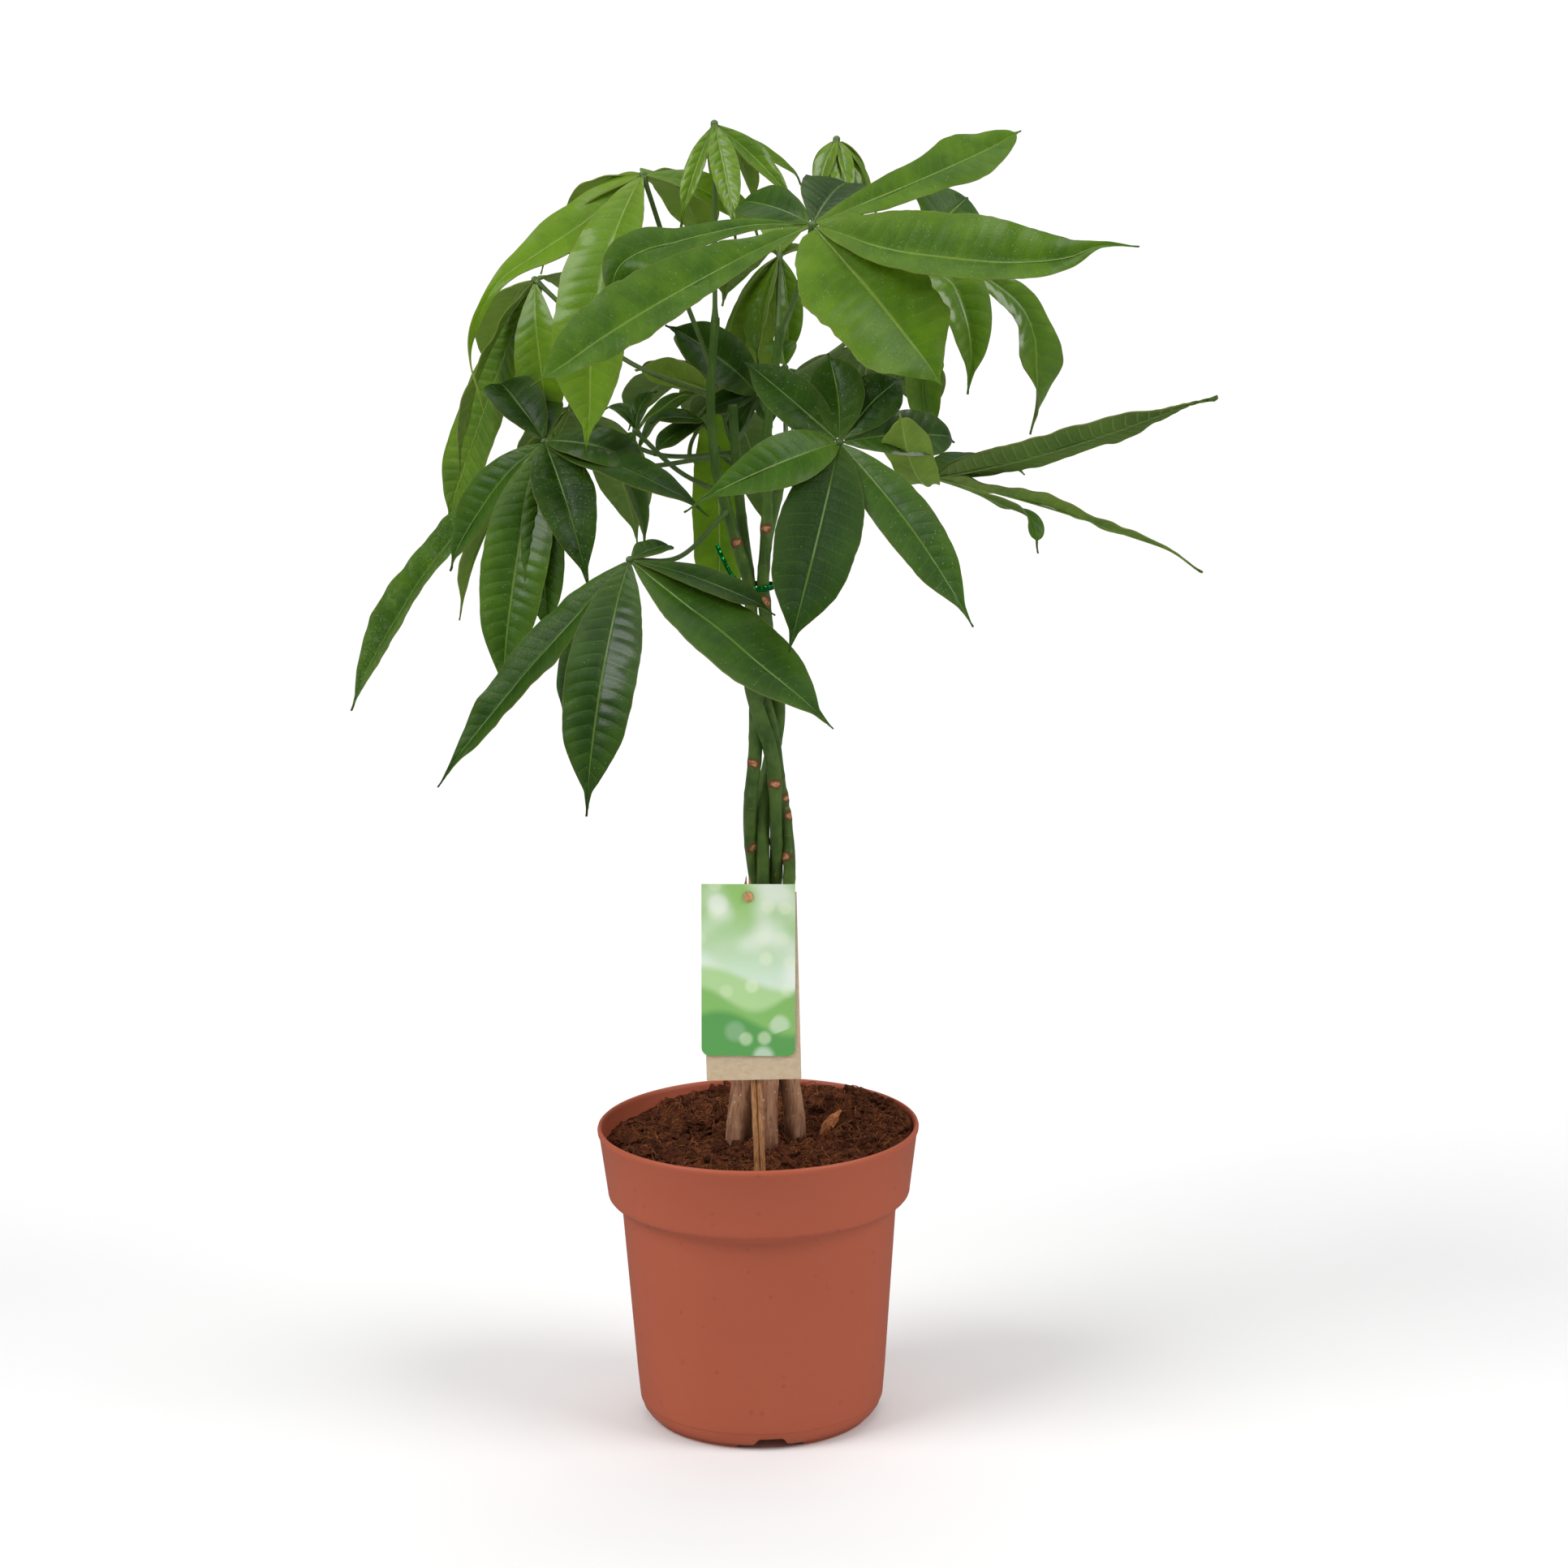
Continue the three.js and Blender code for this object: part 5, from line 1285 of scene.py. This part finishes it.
def build_soil():
    draw = random.Random(SEED)
    bm = bmesh.new()
    made = bmesh.ops.create_grid(bm, x_segments=BED_SIDES, y_segments=BED_RINGS, size=0.5)["verts"]
    for v in made:
        angle, share = (v.co.x + 0.5) * math.tau, v.co.y + 0.5
        r = SOIL_RADIUS * share ** 0.8
        x, y = r * math.cos(angle), r * math.sin(angle)
        v.co = (x, y, rough_soil(x, y))
    bmesh.ops.remove_doubles(bm, verts=bm.verts, dist=1e-3)
    rim = [e for e in bm.edges if e.is_boundary]
    skirt = bmesh.ops.extrude_edge_only(bm, edges=rim)["geom"]
    for v in [g for g in skirt if isinstance(g, bmesh.types.BMVert)]:
        v.co.z = SKIRT_Z
        v.co.xy = v.co.xy * (BAND_FOOT_RADIUS - WALL - 2) / SOIL_RADIUS
    bmesh.ops.holes_fill(bm, edges=[e for e in bm.edges if e.is_boundary], sides=0)
    finish_closed(bm)
    piece("soil_bed", bm, [SOIL], "soil", "soil")

    def crumb(bm):
        r, angle = SOIL_RADIUS * 0.97 * math.sqrt(draw.random()), draw.uniform(0, math.tau)
        x, y = r * math.cos(angle), r * math.sin(angle)
        size = 0.6 + 3.4 * draw.random() ** 4
        turned = draw.uniform(0, math.tau)
        pole = Vector((draw.random(), draw.random(), draw.random() + 0.1))
        turn = Matrix.Rotation(turned, 4, pole)
        flat = Matrix.Diagonal((1, draw.uniform(0.5, 1), draw.uniform(0.4, 0.8), 1))
        where = Matrix.Translation((x, y, rough_soil(x, y) + 0.2 * size)) @ turn @ flat
        for v in bmesh.ops.create_icosphere(bm, subdivisions=1, radius=size, matrix=where)["verts"]:
            v.co += noise.noise_vector(v.co * 0.9) * size * 0.35

    piece("soil_crumbs", batched(CRUMBS, crumb), [CRUMB], "soil")

    def fibre(bm):
        r, angle = SOIL_RADIUS * 0.95 * math.sqrt(draw.random()), draw.uniform(0, math.tau)
        p = Vector((r * math.cos(angle), r * math.sin(angle), 0))
        heading, length = draw.uniform(0, math.tau), 4 + 22 * draw.random() ** 2
        bend, thick = draw.uniform(-FIBRE_BEND, FIBRE_BEND), draw.uniform(*FIBRE_THICK)
        lift = 0.6 + 3.2 * draw.random() ** 3
        path = []
        for k in range(FIBRE_STEPS + 1):
            if p.xy.length > SOIL_RADIUS - 1:
                break
            rise = 0.3 + lift * math.sin(math.pi * k / FIBRE_STEPS)
            path.append(Vector((p.x, p.y, rough_soil(p.x, p.y) + rise)))
            heading += bend
            p = p + Vector((math.cos(heading), math.sin(heading), 0)) * length / FIBRE_STEPS
        if len(path) > 3:
            add_tube(bm, path, lambda s: thick * (1 - 0.6 * s), 4)

    piece("soil_fibres", batched(FIBRES, fibre), [COIR], "soil")

    bm = bmesh.new()
    x, y = CHIP_PLACE
    turn = Matrix.Rotation(CHIP_TURN, 4, "Z") @ Matrix.Rotation(CHIP_TILT, 4, "Y")
    place = Matrix.Translation((x, y, rough_soil(x, y) + CHIP_LIFT)) @ turn @ Matrix.Diagonal((*CHIP_SIZE, 1))
    bmesh.ops.create_cube(bm, size=1.0)
    bmesh.ops.subdivide_edges(bm, edges=bm.edges, cuts=6, use_grid_fill=True)
    for v in bm.verts:
        slim = 1 - 0.75 * smoothstep(abs(v.co.x), 0.15, 0.5)
        v.co.yz = v.co.yz * slim
        v.co += noise.noise_vector(v.co * 6) * 0.09
    bmesh.ops.transform(bm, matrix=place, verts=bm.verts)
    piece("soil_bark_chip", bm, [CHIP], "soil")


# ---- Twist tie ----

def build_tie():
    bm = bmesh.new()
    middle = at_height(PLAIT, TIE_Z)
    ring = [
        middle + Vector(((TIE_BORE + 0.5) * math.cos(a), (TIE_BORE + 0.5) * math.sin(a), 0))
        for a in (math.tau * k / TIE_TURNS for k in range(TIE_TURNS + 1))
    ]
    band = bmesh.ops.create_grid(bm, x_segments=12, y_segments=TIE_TURNS, size=0.5)["verts"]
    for v in band:
        k = round((v.co.y + 0.5) * TIE_TURNS) % TIE_TURNS
        angle = (v.co.x + 0.5) * math.tau
        out = (ring[k] - middle).normalized()
        crumple = 1 + 0.3 * noise.noise(Vector((k * 0.9, angle * 1.5, 3)))
        lift = 0.5 * math.sin(k * math.tau / TIE_TURNS + 1)
        v.co = ring[k] + out * 0.55 * math.cos(angle) * crumple
        v.co.z += TIE_BAND_HEIGHT / 2 * math.sin(angle) * crumple + lift * 0.4
    bmesh.ops.remove_doubles(bm, verts=bm.verts, dist=MERGE)
    path = even_steps(smooth_path(TWIST_ROUTE, 10), 26)
    add_tube(bm, path, lambda s: 1.25, 8, 0, lambda s, a: 0.45 * math.cos(2 * a + s * 26))
    tail = even_steps(smooth_path(TAIL_ROUTE, 10), 14)
    add_tube(bm, tail, lambda s: 0.8, 10, 0, lambda s, a: 0.65 * abs(math.cos(a)) - 0.25)
    finish_closed(bm)
    piece("twist_tie_foil", bm, [FOIL], "tie_foil", "twist_tie")


# ---- Tag ----

def tag_place():
    return Matrix.Translation(TAG_FOOT) @ Matrix.Rotation(-TAG_LEAN, 4, "X")


def hung(turn):
    """The card and its board hang on the peg a little askew, and turned a little to the left."""
    askew = Matrix.Rotation(ASKEW, 4, "Z") @ Matrix.Rotation(turn, 4, "Y")
    return tag_place() @ Matrix.Translation((0, 0, PIN_UP)) @ askew @ Matrix.Translation((0, 0, -PIN_UP))


def add_sheet(bm, spec, y):
    """An upright sheet with rounded lower corners."""
    columns, rows, corner_rows = 16, 30, 8
    made = bmesh.ops.create_grid(bm, x_segments=columns, y_segments=rows, size=0.5)["verts"]
    uv = bm.loops.layers.uv.new("print")
    for v in made:
        row, inset = round((v.co.y + 0.5) * rows), 0
        if row < corner_rows:
            turned = math.pi / 2 * row / corner_rows
            rise, inset = spec["corner"] * (1 - math.cos(turned)), spec["corner"] * (1 - math.sin(turned))
        else:
            above = (row - corner_rows) / (rows - corner_rows)
            rise = lerp(spec["corner"], spec["high"] - spec["low"], above)
        v.co = (spec["shift"] + v.co.x * (spec["width"] - 2 * inset), y, spec["low"] + rise)
    for f in bm.faces:
        for loop in f.loops:
            across = (loop.vert.co.x - spec["shift"]) / spec["width"] + 0.5
            loop[uv].uv = (across, (loop.vert.co.z - spec["low"]) / (spec["high"] - spec["low"]))
    bmesh.ops.recalc_face_normals(bm, faces=bm.faces)
    if bm.faces[:][0].normal.y > 0:
        bmesh.ops.reverse_faces(bm, faces=bm.faces)
    for e in bm.edges:
        e.smooth = not e.is_boundary
    front = set(bm.faces)
    bmesh.ops.solidify(bm, geom=list(front), thickness=spec["thickness"])
    for f in bm.faces:
        f.smooth = True
        f.material_index = 0 if f in front else 1


def build_tag():
    bm = bmesh.new()
    add_sheet(bm, CARD, -(CARD["thickness"] + SEAT_GAP))
    bmesh.ops.transform(bm, matrix=hung(CARD_TURN), verts=bm.verts)
    piece("tag_card_print", bm, [PRINT, CARD_BACK], "card", "tag_card")

    bm = bmesh.new()
    add_sheet(bm, BOARD, 0)
    bmesh.ops.transform(bm, matrix=hung(BOARD_TURN), verts=bm.verts)
    piece("tag_board_kraft", bm, [KRAFT, KRAFT], "board", "tag_board")

    bm = bmesh.new()
    behind = BOARD["thickness"] + SEAT_GAP + STICK_RADIUS
    aside = Matrix.Translation((math.sin(STICK_TILT) * PIN_UP, behind, 0))
    tilt = aside @ Matrix.Rotation(-STICK_TILT, 4, "Y")
    for side in (-1, 1):
        x = side * STICK_SPACING / 2
        heights = [lerp(STICK_BOTTOM, STICK_TOP, k / STICK_STEPS) for k in range(STICK_STEPS + 1)]
        line = [Vector((x, 0, z)) for z in heights]

        def pointed(share, x=x):
            from_end = (1 - share) * (STICK_TOP - STICK_BOTTOM)
            return STICK_RADIUS * smoothstep(from_end, -4, 9)

        rod = add_tube(bm, line, pointed, 14, 0, lambda s, a: 0.05 * math.cos(5 * a + 1))
        for v in rod:
            from_end = STICK_TOP - v.co.z
            v.co.x *= smoothstep(from_end, -8, 10)
    bmesh.ops.transform(bm, matrix=tag_place() @ tilt, verts=bm.verts)
    piece("tag_stick_bamboo", bm, [BAMBOO], "bamboo", "tag_stick")

    head = [
        (0, -1.5), (1.2, -1.42), (2.0, -1.1), (2.5, -0.6), (PIN_HEAD_RADIUS, -0.1), (2.6, 0),
        (1.2, 0), (1.2, 2.6), (0, 2.6),
    ]
    bm = spun([(r, y, 0) for r, y in head], (0, 1, 0), PEG_SIDES)
    up = Matrix.Translation((0, -(CARD["thickness"] + 2 * SEAT_GAP), PIN_UP))
    bmesh.ops.transform(bm, matrix=tag_place() @ up, verts=bm.verts)
    piece("tag_peg_head", bm, [WOOD], "bamboo", "tag_pin")


# ---- Camera, floor and light ----

PHOTO_WIDTH = 1932  # pixels
FOCAL_PIXELS = 4852
CAMERA_PLACE = (15.9, -2000, 771)
CAMERA_DOWN = 12.08
CAMERA_ROLL = 0.7
SENSOR = 36.0
FLOOR_SIZE = 300.0  # metres, so that its far edge lies above the picture
FLOOR_COLOUR = (0.86, 0.86, 0.86, 1)
WORLD_LIGHT = 0.22
# Soft lamps: the way each shines from, as azimuth from the front towards the right and height, in degrees;
# its power, and how wide it looks.
LAMPS = {
    "left": (-62, 44, 1.75, 34),
    "right": (66, 40, 1.45, 34),
    "front": (-20, 64, 0.4, 50),
    "back": (170, 64, 0.8, 50),
}


def build_stage():
    scene = bpy.context.scene
    camera = bpy.data.objects.new("camera", bpy.data.cameras.new("camera"))
    scene.collection.objects.link(camera)
    camera.data.sensor_width = SENSOR
    camera.data.lens = SENSOR * FOCAL_PIXELS / PHOTO_WIDTH
    camera.data.clip_end = 2 * FLOOR_SIZE
    camera.location = Vector(CAMERA_PLACE) * MM
    pitch = Matrix.Rotation(math.radians(90 - CAMERA_DOWN), 3, "X")
    roll = Matrix.Rotation(-math.radians(CAMERA_ROLL), 3, "Z")
    camera.rotation_euler = (pitch @ roll).to_euler()
    scene.camera = camera

    bm = bmesh.new()
    bmesh.ops.create_grid(bm, x_segments=1, y_segments=1, size=FLOOR_SIZE)
    mesh = bpy.data.meshes.new("floor")
    bm.to_mesh(mesh)
    bm.free()
    made, _, shader = material("pale floor", 0.9, 0.1)
    shader["Base Color"].default_value = FLOOR_COLOUR
    mesh.materials.append(made)
    floor = bpy.data.objects.new("floor", mesh)
    floor.visible_glossy = False  # no white haze on leaves that face down
    scene.collection.objects.link(floor)

    world = bpy.data.worlds.new("studio")
    world.use_nodes = True
    world.node_tree.nodes["Background"].inputs["Color"].default_value = (1, 1, 1, 1)
    world.node_tree.nodes["Background"].inputs["Strength"].default_value = WORLD_LIGHT
    scene.world = world
    for name, (azimuth, height, power, width) in LAMPS.items():
        lamp = bpy.data.lights.new(name, "SUN")
        lamp.energy, lamp.angle = power, math.radians(width)
        light = bpy.data.objects.new(name, lamp)
        light.rotation_euler = (math.radians(90 - height), 0, math.radians(azimuth))
        scene.collection.objects.link(light)
    scene.view_settings.view_transform = "Standard"


build_stage()
build_pot()
build_soil()
build_stems()
for leaf_name, leaf_spec in LEAVES.items():
    build_leaf(leaf_name, leaf_spec, leaf_name)
for leaf_name, leaf_spec in INNER_LEAVES.items():
    build_leaf(leaf_name, leaf_spec)
build_tie()
build_tag()
